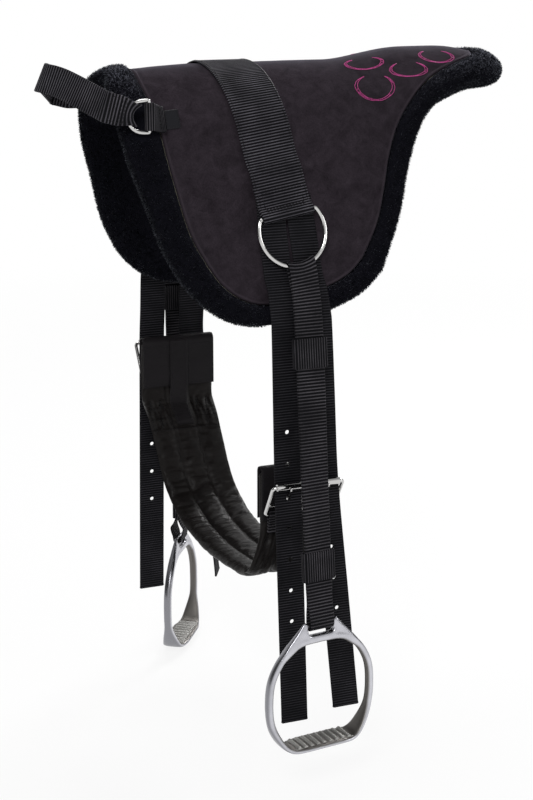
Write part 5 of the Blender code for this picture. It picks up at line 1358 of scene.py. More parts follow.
def fill(sides):
    """A grid of flat points inside four sides."""
    front, rear, left, right = sides
    u = np.linspace(0, 1, len(left))[:, None, None]
    v = np.linspace(0, 1, len(front))[None, :, None]
    corners = (front[0] * (1 - v) + front[-1] * v) * (1 - u) + (rear[0] * (1 - v) + rear[-1] * v) * u
    return front[None] * (1 - u) + rear[None] * u + left[:, None] * (1 - v) + right[:, None] * v - corners


def walk_round(sides):
    front, rear, left, right = sides
    return np.concatenate([front[:-1], right[:-1], rear[:0:-1], left[:0:-1]])


def layer_faces(rows, columns):
    a = (np.arange(rows - 1)[:, None] * columns + np.arange(columns - 1)).ravel()
    return np.stack([a, a + columns, a + columns + 1, a + 1], axis=1)


def edge_numbers(rows, columns):
    """Numbers of a grid's edge points, in the order of walk_round."""
    ring = list(range(columns - 1)) + [i * columns + columns - 1 for i in range(rows - 1)]
    ring += [(rows - 1) * columns + j for j in range(columns - 1, 0, -1)]
    return ring + [i * columns for i in range(rows - 1, 0, -1)]


def layer(name, flat, top, rim, tops, bottoms, finish):
    """A closed pad layer between two heights over flat places; its UV is the flat place."""
    x, drop = flat[:, 0], flat[:, 1]
    points = np.concatenate([pad_points(x, drop, tops), pad_points(x, drop, bottoms)])
    count = len(flat)
    rim = np.array(rim)
    faces = np.concatenate([top, top[:, ::-1] + count, ring_faces(rim, rim + count)[:, ::-1]])
    piece = add_piece(name, points, faces.tolist(), finish, np.concatenate([flat, flat])[faces.ravel()])
    face_outward(piece.data)
    return piece


def inset(sides, distance):
    """The four sides of an outline, moved in."""
    loop = walk_round(sides)
    along = np.roll(loop, -1, axis=0) - np.roll(loop, 1, axis=0)
    for _ in range(4):
        along = (np.roll(along, 1, axis=0) + 2 * along + np.roll(along, -1, axis=0)) / 4
    turn = np.sign(np.sum(loop[:, 0] * np.roll(loop[:, 1], -1) - np.roll(loop[:, 0], -1) * loop[:, 1]))
    loop = loop + unit(np.stack([-along[:, 1], along[:, 0]], axis=1)) * turn * distance
    loop = np.concatenate([loop, loop[:1]])
    a, b = len(sides[0]) - 1, len(sides[2]) - 1
    return [loop[:a + 1], loop[a + b:2 * a + b + 1][::-1], loop[2 * a + b:][::-1], loop[a:a + b + 1]]


def edge_distance(flat, sides):
    """Distance of each flat place from the outline."""
    edge = walk_round(sides)
    tree = kdtree.KDTree(len(edge))
    for index, (x, drop) in enumerate(edge):
        tree.insert((x, drop, 0.0), index)
    tree.balance()
    return np.array([tree.find((x, drop, 0.0))[2] for x, drop in flat])


def under_webbing(x, drop):
    """Whether a flat place lies under the band, a billet or a front ring tab."""
    side = "left" if drop < 0 else "right"
    reach = abs(drop)
    if reach < RING_BAR_DROP + 0.012 and abs(x - band_x(side, reach)) < BAND_WIDTH / 2 + 0.002:
        return True
    if reach > BILLET_TOP_DROP:
        for place in ("front", "rear"):
            key = side + "_" + place
            top = billet_top_x(key)
            slope = (BILLETS[key][0] - top) / (BUCKLE_DROP[side] - BILLET_TOP_DROP)
            if abs(x - top - slope * (reach - BILLET_TOP_DROP)) < WEB_WIDTH / 2 + 0.0015:
                return True
    near_tab = abs(reach - FRONT_RING_DROP) < FRONT_TAB_WIDTH / 2 + 0.004
    return near_tab and FRONT_RING_BAR_X - 0.012 < x < FRONT_RING_BAR_X + FRONT_TAB_LENGTH


# Suede's edge: distance in from the seam, height of the surface, and how strong the painted highlight on the
# bead is
SUEDE_EDGE = [(SEAM_GAP, -0.0017, 0.2), (0.0018, -0.0005, 0.7), (0.0026, 0.0003, 1.0), (0.0034, 0.0004, 1.0),
              (0.0042, -0.0001, 0.5), (0.0052, -0.0007, 0.0), (0.0068, -0.0004, 0.0), (0.0090, 0.0, 0.0)]


def dress_suede(finishes, seam):
    """Suede cover: a raised bead with a painted highlight and a stitched groove along the seam, puckers, and
    waves from handling.
    """
    rings = [walk_round(inset(seam, distance)) for distance, _, _ in SUEDE_EDGE[:-1]]
    grid = fill(inset(seam, SUEDE_EDGE[-1][0]))
    columns = len(rings[0])
    flat = np.concatenate(rings + [grid.reshape(-1, 2)])
    numbers = [np.arange(columns) + k * columns for k in range(len(rings))]
    numbers.append(np.array(edge_numbers(*grid.shape[:2])) + columns * len(rings))
    faces = [ring_faces(a, b) for a, b in zip(numbers, numbers[1:])]
    faces.append(layer_faces(*grid.shape[:2])[:, ::-1] + columns * len(rings))
    height, painted_light = (np.concatenate([np.repeat([row[k] for row in SUEDE_EDGE[:-1]], columns),
                                      np.zeros(grid[..., 0].size)]) for k in (1, 2))
    away = edge_distance(flat, seam)
    for index, (x, drop) in enumerate(flat):
        place = (x, drop, 0.0)
        waves = 0.5 + 0.5 * uneven(place, 0.055) + 0.25 * uneven(place, 0.02, 3.0)
        pucker = 0.5 + 0.5 * uneven(place, 0.009, 7.0)
        height[index] -= 0.0005 * min(1.0, max(0.0, waves)) * smooth(away[index] / 0.02)
        height[index] -= 0.0005 * pucker * math.exp(-away[index] / 0.009)
        if height[index] > -0.0003 and under_webbing(x, drop):
            height[index] = -0.0003
        # The bead's painted highlight, stronger and weaker in patches 30 mm apart
        painted_light[index] *= 0.6 + 0.4 * uneven(place, 0.03, 5.0)
    piece = layer("suede_cover_cloth", flat, np.concatenate(faces), numbers[0], height,
                  -SUEDE_THICKNESS - 0.0001, finishes["suede"])
    # Painted highlight on the bead, on the top face only
    paint(piece.data, "painted_bead_highlight", np.concatenate([painted_light, painted_light * 0]))
    dress(piece, "pad", "suede", "suede_cover")


def dress_foam(finishes, seam):
    grid = fill(inset([side[::4] for side in seam], FOAM_INSET))
    top = -SUEDE_THICKNESS - GAP
    piece = layer("foam_core_slab", grid.reshape(-1, 2), layer_faces(*grid.shape[:2]),
                  edge_numbers(*grid.shape[:2]), top, top - FOAM_THICKNESS, finishes["foam"])
    dress(piece, "pad", "foam", "foam_core")


def rim_section(count):
    """The plush roll across, from the seam over the roll to the underside: share of its width, and height."""
    section = [(0.0, 0.12), (0.03, -0.2)] + ROLL_SECTION_SHARES + [(0.0, 1.0)]
    path = [(w * ROLL_WIDTH, -d * (ROLL_PROUD if d < 0 else PAD_THICKNESS), 0.0) for w, d in section]
    return [(p.x / ROLL_WIDTH, p.y) for p in curve(path, count)]


def dress_plush(finishes, seam, edge):
    """Plush lining: the backing's roll and underside, and the cut pile that grows from both."""
    inner, outer = walk_round(seam), walk_round(edge)
    section = rim_section(26)
    outer = inner + (outer - inner) * (1 - PILE_SET_IN / np.linalg.norm(outer - inner, axis=1, keepdims=True))
    rings = []
    for share, height in section:
        flat = inner * (1 - share) + outer * share
        rings.append(pad_points(flat[:, 0], flat[:, 1], height))
    rings = np.array(rings)
    grid = fill(seam)
    rim = rings[:-1].reshape(-1, 3)
    numbers = np.arange(len(rim)).reshape(len(rings) - 1, -1)
    edge_ring = np.array(edge_numbers(*grid.shape[:2])) + len(rim)
    faces = np.concatenate([ring_faces(a, b) for a, b in zip(numbers, [*numbers[1:], edge_ring])]
                           + [layer_faces(*grid.shape[:2])[:, ::-1] + len(rim)])
    points = np.concatenate([rim, pad_points(grid[..., 0], grid[..., 1], -PAD_THICKNESS).reshape(-1, 3)])
    backing = add_piece("fleece_lining_backing", points, faces.tolist(), finishes["backing"],
                        points[faces.ravel()][:, :2])
    face_outward(backing.data)
    dress(backing, "pad", "plush", "fleece_lining")
    grow_rim_pile(finishes, rings, inner, outer, section)
    grow_underside_pile(finishes, grid)


def grow_rim_pile(finishes, rings, inner, outer, section):
    random = np.random.default_rng(11)
    columns = rings.shape[1]
    widths = np.linalg.norm(np.diff(rings, axis=0), axis=2)
    steps = np.linalg.norm(np.roll(rings, -1, axis=1) - rings, axis=2)[:-1]
    area = (widths * steps).ravel()
    chosen = random.choice(len(area), size=PILE_PER_RIM, p=area / area.sum())
    i, j = chosen // columns, chosen % columns
    s, t = random.random(PILE_PER_RIM)[:, None], random.random(PILE_PER_RIM)[:, None]
    j2 = (j + 1) % columns
    a, b, c, d = rings[i, j], rings[i + 1, j], rings[i, j2], rings[i + 1, j2]
    roots = (a * (1 - s) + b * s) * (1 - t) + (c * (1 - s) + d * s) * t
    normals = unit(np.cross(b - a, c - a))
    centre = (rings[4, j] + rings[-1, j]) / 2
    normals *= np.sign(np.einsum("ij,ij->i", normals, roots - centre))[:, None]
    share = np.array([p[0] for p in section])[i]
    flat = inner[j] * (1 - share[:, None]) + outer[j] * share[:, None]
    length = np.full(PILE_PER_RIM, PILE_LENGTH)
    # Short beside the seam, and pressed flat under webbing
    length[i < 3] *= 0.45
    length[np.array([under_webbing(x, drop) for x, drop in flat]) & (i < 16)] = 0.0004
    grow_pile("fleece_lining_rim_pile", roots, normals, length, 12, finishes["pile"])


def grow_underside_pile(finishes, grid):
    random = np.random.default_rng(21)
    rows, columns = grid.shape[:2]
    i, j = (random.integers(0, count - 1, PILE_PER_UNDERSIDE) for count in (rows, columns))
    s, t = random.random(PILE_PER_UNDERSIDE)[:, None], random.random(PILE_PER_UNDERSIDE)[:, None]
    flat = ((grid[i, j] * (1 - s) + grid[i + 1, j] * s) * (1 - t)
            + (grid[i, j + 1] * (1 - s) + grid[i + 1, j + 1] * s) * t)
    roots = pad_points(flat[:, 0], flat[:, 1], -PAD_THICKNESS)
    outer = pad_points(flat[:, 0], flat[:, 1], 0.0)
    grow_pile("fleece_lining_underside_pile", roots, unit(roots - outer),
              np.full(PILE_PER_UNDERSIDE, PILE_LENGTH * 0.8), 22, finishes["pile"])


def grow_pile(name, roots, normals, length, seed, finish):
    """Cut pile: thin bent blades that lean together in locks; all shaded as the surface they stand on."""
    random = np.random.default_rng(seed)
    noise.seed_set(seed)
    count = len(roots)
    locks = np.array([tuple(noise.noise_vector(Vector(root) / 0.009)) for root in roots])
    lean = locks * 1.2 + random.normal(size=(count, 3)) * 0.3 + np.array([0.0, 0.0, -0.3])
    lean -= normals * np.einsum("ij,ij->i", lean, normals)[:, None]
    size = (length * random.uniform(0.65, 1.15, count))[:, None]
    first = unit(normals + lean * 0.5)
    second = unit(normals * 0.8 + lean * 1.2)
    side = unit(np.cross(first, random.normal(size=(count, 3))))
    half = random.uniform(0.0002, 0.0004, count)[:, None]
    foot = roots - normals * 0.0004
    middle = foot + first * size * 0.55
    tip = middle + second * size * 0.45
    points = np.stack([foot - side * half, foot + side * half, middle - side * half * 0.8,
                       middle + side * half * 0.8, tip], axis=1).reshape(-1, 3)
    base = (np.arange(count) * 5)[:, None]
    faces = np.concatenate([base + [0, 1, 3], base + [0, 3, 2], base + [2, 3, 4]], axis=1).reshape(-1, 3)
    piece = add_piece(name, points, faces.tolist(), finish)
    # Root to tip, for the painted shade down in the pile
    paint(piece.data, "tip", np.tile([0.0, 0.0, 0.5, 0.5, 1.0], count))
    # Painted sheen where the pile faces up
    paint(piece.data, "open", np.repeat(np.clip(normals[:, 2] * 1.5 - 0.4, 0, 1) ** 1.2 * 0.9, 5))
    shading = unit(normals + random.normal(size=(count, 3)) * 0.18)
    piece.data.normals_split_custom_set_from_vertices(np.repeat(shading, 5, axis=0))
    dress(piece, "pad", "plush")


def dress_horseshoes(finishes):
    """Stitched horseshoes of this part's own drawing, scattered over the seat on both sides."""
    runs = []
    for first, side in zip((0, 10), SIDES.values()):
        for number, (x, drop, width, height, tilt) in enumerate(HORSESHOES, first):
            runs += horseshoe(x, drop * side, width, height, tilt * side, number)
    sew("seat_horseshoe_embroidery", "pad", runs, finishes["embroidery"], 0.0003)


def horseshoe(x, drop, width, height, tilt, number):
    """One horseshoe, open towards the ridge: three loose threads that meet at its toe and its heels."""
    side = math.copysign(1.0, drop)
    random = np.random.default_rng(100 + number)
    tilt = math.radians(tilt)
    threads = []
    steps = 42
    for strand in (-1.0, 0.1, 1.0):
        wobble = random.normal(size=steps + 1) * 0.00022
        path = []
        for step in range(steps + 1):
            share = step / steps
            turn = math.radians(-147 + 294 * share)
            # Widest halfway up each branch
            branch = abs(2 * share - 1)
            spread = 0.0016 * math.sin(math.pi * min(1.0, 0.08 + branch * 0.92)) ** 0.8
            reach = width / 2 - 0.0016 + strand * spread + wobble[step]
            across, down = reach * math.sin(turn), reach * height * math.cos(turn)
            path.append((x + across * math.cos(tilt) - down * math.sin(tilt),
                         drop + side * (across * math.sin(tilt) + down * math.cos(tilt))))
        run = []
        for (ax, ad), (bx, bd) in zip(path, path[1:]):
            a, b = on_pad(ax, ad, 0.0), on_pad(ax + (bx - ax) * 0.92, ad + (bd - ad) * 0.92, 0.0)
            if strand != 0.1 or random.random() < 0.45:
                run.append((tuple(a), tuple(b), tuple(out_of_pad(ad))))
        threads.append(run)
    return threads


# Band, rings and billets

def dress_band(finishes):
    middle = [on_pad(BAND_X + share * BAND_WIDTH, 0.0, LYING_GAP + WEB_THICKNESS / 2)
              for share in (-0.5, 0.0, 0.5)]
    rows = band_half("left") + [middle] + band_half("right")[::-1]
    piece, strip = weave("over_band_webbing", rows, finishes["wide"], sealed=(True, True),
                         pitch=BAND_RIB_PITCH)
    dress(piece, "pad", "webbing", "over_band")
    start = BAND_FOLD_LENGTH + math.pi * RING_FOLD_RADIUS + 0.007
    finish = strip.length - start
    face = strip.facing(strip.length / 2, UP)
    runs = [stitch_run(strip, (start, share), (finish, share), face) for share in (0.045, 0.955)]
    for near, reach in ((start, 0.024), (finish, -0.024)):
        runs += box_stitch(strip, near, near + reach, 0.12, 0.88, face,
                           rows=(near + reach * 0.12, near + reach * 0.88))
    sew("over_band_stitching", "pad", runs, finishes["thread"])


def dress_big_ring(side, finishes):
    path = [ring_frame(side) @ p for p in ring_path()]
    ring = tube("big_ring_wire_" + side, fillet(path, True, 0.0011), RING_WIRE_RADIUS,
                finishes["chrome"], True)
    dress(ring, "big_ring_" + side, "chrome", "big_ring_" + side)


def dress_billet(key, finishes):
    route = billet_route(key)
    rows = strip_rows(route, [billet_across(key, point.z) for point in route], WEB_WIDTH, 2)
    piece, _ = weave("girth_billet_webbing_" + key, rows, finishes["billet"], sealed=(False, True),
                     pitch=BILLET_RIB_PITCH)
    punch, rims = hole_cutters(key)
    cutter = add_piece("hole_punch_" + key, *punch, finishes["melted"])
    face_outward(cutter.data)
    modifier = piece.modifiers.new("punched_holes", "BOOLEAN")
    modifier.operation = "DIFFERENCE"
    modifier.solver = "EXACT"
    modifier.object = cutter
    holed = applied(piece)
    piece.modifiers.clear()
    piece.data = holed
    bpy.data.objects.remove(cutter)
    holed.shade_smooth()
    holed.set_sharp_from_angle(angle=math.radians(50))
    dress(piece, "pad", "webbing", "girth_billet_" + key)
    rim = add_piece("hole_rims_" + key, *rims, finishes["melted"])
    face_outward(rim.data)
    dress(rim, "pad", "webbing")


def hole_cutters(key):
    """Punches for the holes, one longer where the tongue passes, and the melted rims round them."""
    side = key.split("_")[0]
    crossing = buckle_frame(key) @ tongue_crossing()
    used = PAD_THICKNESS - crossing.z
    places = [(billet_at(key, drop), 0.0) for drop in hole_drops(key) if abs(drop - used) > HOLE_PITCH / 2]
    if side == "right":
        # The photograph shows no hole above the girth on this side
        places = [place for place in places if place[0].z < crossing.z]
    places.append((crossing, TONGUE_HOLE_LENGTH / 2 - HOLE_RADIUS))
    points, faces, rim_points, rim_faces = [], [], [], []
    sides, turns = 20, 8
    angles = [math.tau * (step + 0.5) / sides for step in range(sides)]
    up = BACK.cross(billet_out(side)) * SIDES[side]
    for centre, stretch in places:
        across = billet_across(key, centre.z)
        out = across.cross(up)
        loop = list(range(len(points), len(points) + sides))
        faces += [(a, b, b + sides, a + sides) for a, b in zip(loop, loop[1:] + loop[:1])]
        faces += [tuple(loop), tuple(a + sides for a in loop)]
        for reach in (-2 * WEB_THICKNESS, 2 * WEB_THICKNESS):
            for angle in angles:
                lift = math.copysign(stretch, math.sin(angle)) + HOLE_RADIUS * math.sin(angle)
                points.append(centre + out * reach + across * HOLE_RADIUS * math.cos(angle) + up * lift)
        for face in (-1.0, 1.0):
            number = len(rim_points) + np.arange(sides * turns).reshape(sides, turns)
            after = np.roll(number, -1, axis=0)
            rim_faces += np.stack([number, np.roll(number, -1, axis=1), np.roll(after, -1, axis=1), after],
                                  axis=2).reshape(-1, 4).tolist()
            for angle in angles:
                radial = across * math.cos(angle) + up * math.sin(angle)
                lift = math.copysign(stretch, math.sin(angle))
                middle = centre + radial * (HOLE_RADIUS + 0.0002) + up * lift
                middle += out * face * (WEB_THICKNESS / 2 - 0.0001)
                for turn in range(turns):
                    roll = math.tau * turn / turns
                    rim_points.append(middle + (radial * math.cos(roll) + out * math.sin(roll)) * 0.00042)
    return (points, faces), (rim_points, rim_faces)


# Girth

def dress_buckle(key, finishes):
    place, chrome = buckle_frame(key), finishes["chrome"]
    half = BUCKLE_INSIDE / 2 + BUCKLE_WIRE_RADIUS
    path = rounded_rectangle(half, 0.0, -BUCKLE_UPPER_LENGTH - BUCKLE_LOWER_LENGTH, BUCKLE_CORNER, 6)
    body = tube("girth_buckle_wire_" + key, fillet([place @ p for p in path], True, 0.0007),
                BUCKLE_WIRE_RADIUS, chrome, True)
    dress(body, "pad", "chrome", "girth_buckle_" + key)
    ends = [place @ Vector((x, 0, -BUCKLE_UPPER_LENGTH)) for x in (-half, half)]
    # A little thinner at its ends
    radii = BUCKLE_WIRE_RADIUS * 0.95 * np.array([0.9, 1.0, 1.0, 1.0, 0.9])
    bar = tube("girth_buckle_bar_" + key,
               [ends[0].lerp(ends[1], share) for share in (0.0, 0.02, 0.5, 0.98, 1.0)], radii, chrome,
               flat=(0.31, 0.52, 0.79))
    dress(bar, "pad", "chrome")
    roller = roller_sleeve("buckle_roller_sleeve_" + key, place, half - BUCKLE_CORNER - GAP, chrome)
    dress(roller, "roller_" + key, "chrome", "buckle_roller_" + key)
    centre = Vector((0.0, 0.0, -BUCKLE_UPPER_LENGTH))
    path = []
    for step in range(22):
        angle = math.radians(-235 + 290 * step / 21)
        path.append(centre + Vector((0.0, math.cos(angle), math.sin(angle))) * TONGUE_EYE_RADIUS)
    tip = tongue_tip()
    path += [tongue_start() + UP * (TONGUE_EYE_RADIUS * 0.6), tip, tip + UP * TONGUE_TIP_OVERRUN]
    line = fillet([place @ p for p in path], False, 0.0005)
    left = np.linalg.norm(line - line[-1], axis=1)
    radii = TONGUE_RADIUS * np.clip(0.35 + 0.65 * np.sqrt(np.clip(left / 0.0035, 0, 1)), 0, 1)
    tongue = tube("buckle_tongue_wire_" + key, line, radii, chrome, False, 14)
    dress(tongue, "pad", "chrome", "buckle_tongue_" + key)


def roller_sleeve(name, place, half, finish):
    """A rolled tube with eased ends round the buckle's top wire."""
    ease = 0.0003
    bore = ROLLER_BORE_RADIUS
    profile = [(-half, bore + ease), (-half, ROLLER_RADIUS - ease), (-half + ease, ROLLER_RADIUS),
               (half - ease, ROLLER_RADIUS), (half, ROLLER_RADIUS - ease), (half, bore + ease),
               (half - ease, bore), (-half + ease, bore)]
    rings = []
    for step in range(32):
        c, s = math.cos(math.tau * step / 32), math.sin(math.tau * step / 32)
        rings.append([tuple(place @ Vector((x, r * c, r * s))) for x, r in profile])
    piece = loft(name, rings, finish, True)
    piece.data.set_sharp_from_angle(angle=math.radians(30))
    return piece


def dress_girth(finishes):
    """Padded girth: three channels blown up under their seams, creased across where the girth bends."""
    columns = GIRTH_CHANNELS * GIRTH_CHANNEL_COLUMNS
    centres = np.array([tuple(p) for p in curve(girth_route(), GIRTH_ROWS)])
    along = unit(np.gradient(centres, axis=0))
    out = unit(np.cross(along, (1.0, 0.0, 0.0)))
    bend = np.linalg.norm(np.gradient(along, axis=0), axis=1)
    bend = np.convolve(bend, np.ones(9) / 9, mode="same")
    bend = np.clip(bend / max(bend.max(), 1e-9) * 1.4, 0, 1)
    distance = np.concatenate([[0.0], np.cumsum(np.linalg.norm(np.diff(centres, axis=0), axis=1))])
    share = np.arange(columns + 1) / columns
    within = share * GIRTH_CHANNELS % 1.0
    puff = np.sqrt(np.clip(1 - (2 * within - 1) ** 2, 0, 1))
    edge = np.clip(np.minimum(share, 1 - share) / 0.02, 0.35, 1)
    half = (GIRTH_SEAM_THICKNESS * edge + (GIRTH_THICKNESS - GIRTH_SEAM_THICKNESS) * puff) / 2
    half[(within < 1e-6) & (share > 0) & (share < 1)] -= 0.0014
    pulled = zigzag_distance(distance, share * GIRTH_WIDTH)
    rings = []
    for face in (1, -1):
        for column in range(columns + 1)[::face]:
            offset = (share[column] - 0.5) * GIRTH_WIDTH
            depth = np.array([crease(place, offset, float(face)) for place in distance])
            amount = 0.0010 + (0.0026 if face < 0 else 0.0009) * bend
            reach = half[column] - amount * depth * puff[column]
            for end in (distance, distance[-1] - distance):
                reach = reach - 0.0026 * np.exp(-((end - GIRTH_CROSS_SEAM) / 0.0024) ** 2)
            reach = reach - 0.0022 * np.exp(-(pulled[:, column] / 0.0021) ** 2)
            rings.append(centres + np.array([offset, 0, 0]) + out * (face * reach)[:, None])
    piece = loft("girth_padding_cloth", np.stack(rings, axis=1), finishes["taffeta"], False, distance)
    swell_girth(piece, columns)
    smoothing = piece.modifiers.new("soft_cloth", "SUBSURF")
    smoothing.levels = smoothing.render_levels = 1
    dress(piece, "pad", "nylon", "girth_padding")
    sew_girth(finishes, centres, out, half, share, distance)


def girth_zigzags(length):
    """Corners of the W's sewn at each end of the girth, as distance along and share across."""
    rows = []
    for turned in (False, True):
        for low in (0.03, 0.69):
            corners = [(0.072 if k % 2 else GIRTH_CROSS_SEAM - 0.004, low + 0.07 * k) for k in range(5)]
            rows.append([(length - end if turned else end, across) for end, across in corners])
    return rows


def zigzag_distance(along, across):
    """Distance of each place of the girth's grid from the nearest line of the W's."""
    grid = np.stack(np.meshgrid(along, across, indexing="ij"), axis=2)
    nearest = np.full(grid.shape[:2], 1.0)
    for corners in girth_zigzags(along[-1]):
        places = np.array(corners) * [1.0, GIRTH_WIDTH]
        for a, b in zip(places, places[1:]):
            part = np.clip(((grid - a) @ (b - a)) / ((b - a) @ (b - a)), 0, 1)[:, :, None]
            nearest = np.minimum(nearest, np.linalg.norm(grid - a - (b - a) * part, axis=2))
    return nearest


def crease(distance, offset, face):
    """Depth share of the cross creases at a place on the girth."""
    slanted = distance + offset * 0.18 * face
    ridge = 1 - abs(noise.noise(Vector((slanted / 0.0125, offset / 0.10, 2.0 * face)))) * 2.4
    fine = 1 - abs(noise.noise(Vector((slanted / 0.006, offset / 0.06, 9.0 + face)))) * 2.4
    return max(0.0, ridge) ** 2 + 0.35 * max(0.0, fine) ** 2


def swell_girth(piece, columns):
    """Blows the girth up as cloth held at its seams, edges and ends."""
    ring = 2 * (columns + 1)
    held = []
    for i in range(GIRTH_ROWS + 1):
        for k in range(ring):
            column = k if k <= columns else 2 * columns + 1 - k
            at_end = not GIRTH_HELD_ROWS <= i <= GIRTH_ROWS - GIRTH_HELD_ROWS
            if column % GIRTH_CHANNEL_COLUMNS == 0 or at_end:
                held.append(i * ring + k)
    piece.vertex_groups.new(name="seams").add(held, 1.0, "REPLACE")
    rest = read(piece.data.vertices, "co", 3)
    cloth = piece.modifiers.new("blown_up", "CLOTH")
    settings = cloth.settings
    settings.quality = 5
    settings.mass = 0.3
    settings.use_pressure = True
    settings.uniform_pressure_force = 4.0
    settings.tension_stiffness = settings.compression_stiffness = 12.0
    settings.shear_stiffness = 6.0
    settings.bending_stiffness = 0.05
    settings.vertex_group_mass = "seams"
    settings.shrink_min = -0.03
    settings.effector_weights.gravity = 0.0
    cloth.collision_settings.use_self_collision = False
    for number in range(1, GIRTH_SWELL_FRAMES + 1):
        bpy.context.scene.frame_set(number)
    blown = piece.evaluated_get(bpy.context.evaluated_depsgraph_get()).data
    shift = read(blown.vertices, "co", 3) - rest
    size = np.linalg.norm(shift, axis=1, keepdims=True)
    shift *= np.minimum(1.0, GIRTH_SWELL_LIMIT / np.maximum(size, 1e-9))
    piece.modifiers.remove(cloth)
    piece.data.vertices.foreach_set("co", (rest + shift).ravel())
    piece.data.update()
    bpy.context.scene.frame_set(1)


def sew_girth(finishes, centres, out, half, share, distance):
    """Lockstitch in the channel seams on both faces, and a W over a cross seam at each end of the girth."""
    def spot(along, across, face, dip):
        centre, normal = (np.array([np.interp(along, distance, rows[:, k]) for k in range(3)])
                          for rows in (centres, out))
        lift = float(np.interp(across, share, half)) - dip
        return centre + np.array([(across - 0.5) * GIRTH_WIDTH, 0, 0]) + normal * face * lift, normal * face

    def run(start, end, face, dip=0.0):
        size = math.hypot(end[0] - start[0], (end[1] - start[1]) * GIRTH_WIDTH)
        number = int(size / STITCH_PITCH)
        stitches = []
        for k in range(number):
            places = [[a + (b - a) * (k + part) / number for a, b in zip(start, end)] for part in (0.0, 0.75)]
            (first, normal), (last, _) = (spot(*place, face, dip) for place in places)
            stitches.append((first, last, normal))
        return stitches

    runs = []
    for face in (1.0, -1.0):
        for seam in (1 / 3, 2 / 3):
            for along in np.arange(0.06, distance[-1] - 0.07, 0.012):
                runs.append(run((along, seam), (along + 0.012, seam), face))
        for along in (GIRTH_CROSS_SEAM, distance[-1] - GIRTH_CROSS_SEAM):
            runs.append(run((along, 0.02), (along, 0.98), face, 0.0021))
        for corners in girth_zigzags(distance[-1]):
            runs += [run(a, b, face, 0.0018) for a, b in zip(corners, corners[1:])]
    sew("girth_channel_stitching", "pad", runs, finishes["thread"])


def dress_binding(side, finishes):
    """Binding folded over a girth end, sewn in a box on each face."""
    end = girth_end(side)[0]
    sign = SIDES[side]
    reach = GIRTH_THICKNESS / 2 + GAP + BINDING_THICKNESS / 2
    out = Vector((0.0, sign, 0.0))
    path = [end + out * reach - UP * BINDING_FLAP, end + out * reach]
    for step in range(1, 12):
        angle = math.pi * step / 12
        path.append(end + out * reach * math.cos(angle) + UP * reach * math.sin(angle))
    path += [end - out * reach, end - out * reach - UP * BINDING_FLAP]
    piece, strip = weave("girth_end_binding_cloth_" + side, strip_rows(path, BACK, GIRTH_WIDTH, 2),
                         finishes["binding"], thickness=BINDING_THICKNESS, pitch=0.012, depth=0.0)
    dress(piece, "pad", "nylon", "girth_end_binding_" + side)
    face, lift = strip.facing(strip.length * 0.1, out), BINDING_THICKNESS / 2
    inner = strip.length - BINDING_FLAP
    runs = []
    for low, high in ((0.02, 0.36), (0.64, 0.98)):
        runs += box_stitch(strip, inner + 0.004, strip.length - 0.0025, low, high, face, lift)
        runs += box_stitch(strip, 0.0025, BINDING_FLAP - 0.004, low, high, face, lift)
    runs += [stitch_run(strip, (inner + 0.002, share), (strip.length - 0.002, share), face, lift)
             for share in (0.4, 0.6)]
    sew("girth_end_stitching_" + side, "pad", runs, finishes["thread"])
    reinforce_girth(side, finishes)


def reinforce_girth(side, finishes):
    """Centre strip on a girth end's inner face, from the binding's top to the cross seam."""
    sign = SIDES[side]
    centres = curve(girth_route(), GIRTH_ROWS)[::-int(sign)]
    distance = 0.0
    rows = []
    for index in range(1, len(centres) - 1):
        distance += (centres[index] - centres[index - 1]).length
        if distance > GIRTH_CROSS_SEAM - 0.004:
            break
        if index % 3 == 1:
            normal = BACK.cross((centres[index + 1] - centres[index - 1]).normalized()).normalized()
            if normal.y * sign > 0:
                normal = -normal
            over_flap = 1 - smooth((distance - BINDING_FLAP) / 0.008)
            lift = GIRTH_THICKNESS / 2 + 0.0008 + (BINDING_THICKNESS + 2 * GAP) * over_flap
            for centre in [centres[index]] if rows else [girth_end(side)[0] + UP * 0.003, centres[index]]:
                rows.append([centre + normal * lift + BACK * CENTRE_STRIP_WIDTH * (share - 0.5)
                             for share in (0.0, 0.5, 1.0)])
    piece, strip = weave("girth_centre_strip_" + side, rows, finishes["binding"], thickness=0.001,
                         pitch=0.012, depth=0.0)
    dress(piece, "pad", "nylon")
    face = strip.facing(strip.length * 0.3, (0.0, -sign, 0.0))
    runs = [stitch_run(strip, (0.002, share), (strip.length - 0.002, share), face, 0.0005)
            for share in (0.1, 0.9)]
    sew("girth_centre_stitching_" + side, "pad", runs, finishes["thread"])


def dress_tab(key, finishes):
    sign = SIDES[key.split("_")[0]]
    fold = BUCKLE_WIRE_RADIUS + LOOP_GAP + WEB_THICKNESS / 2
    bar = buckle_frame(key) @ Vector((0.0, 0.0, -BUCKLE_UPPER_LENGTH - BUCKLE_LOWER_LENGTH))
    settled = fold - WEB_THICKNESS - GAP
    path = [bar - Vector((0, sign * fold, 0)) - UP * TAB_LENGTH]
    for step in range(FOLD_STEPS + 1):
        angle = math.pi * step / FOLD_STEPS
        path.append(bar + Vector((0, -sign * fold * math.cos(angle), 0)) + UP * fold * math.sin(angle))
    path += [bar - Vector((0, sign * settled * share, 0)) - UP * down
             for share, down in ((0.2, fold * 3), (1.0, fold * 5), (1.0, TAB_LENGTH))]
    piece, strip = weave("girth_tab_webbing_" + key, strip_rows(path, BACK, TAB_WIDTH, 2),
                         finishes["webbing"], sealed=(True, True))
    dress(piece, "pad", "webbing", "girth_tab_" + key)
    face = strip.facing(strip.length - 0.004, (0.0, sign, 0.0))
    sew("girth_tab_stitching_" + key, "pad",
        box_stitch(strip, strip.length - 0.010, strip.length - 0.003, 0.1, 0.9, face,
                   rows=(strip.length - 0.0065,)), finishes["thread"])


# Stirrup straps and stirrups

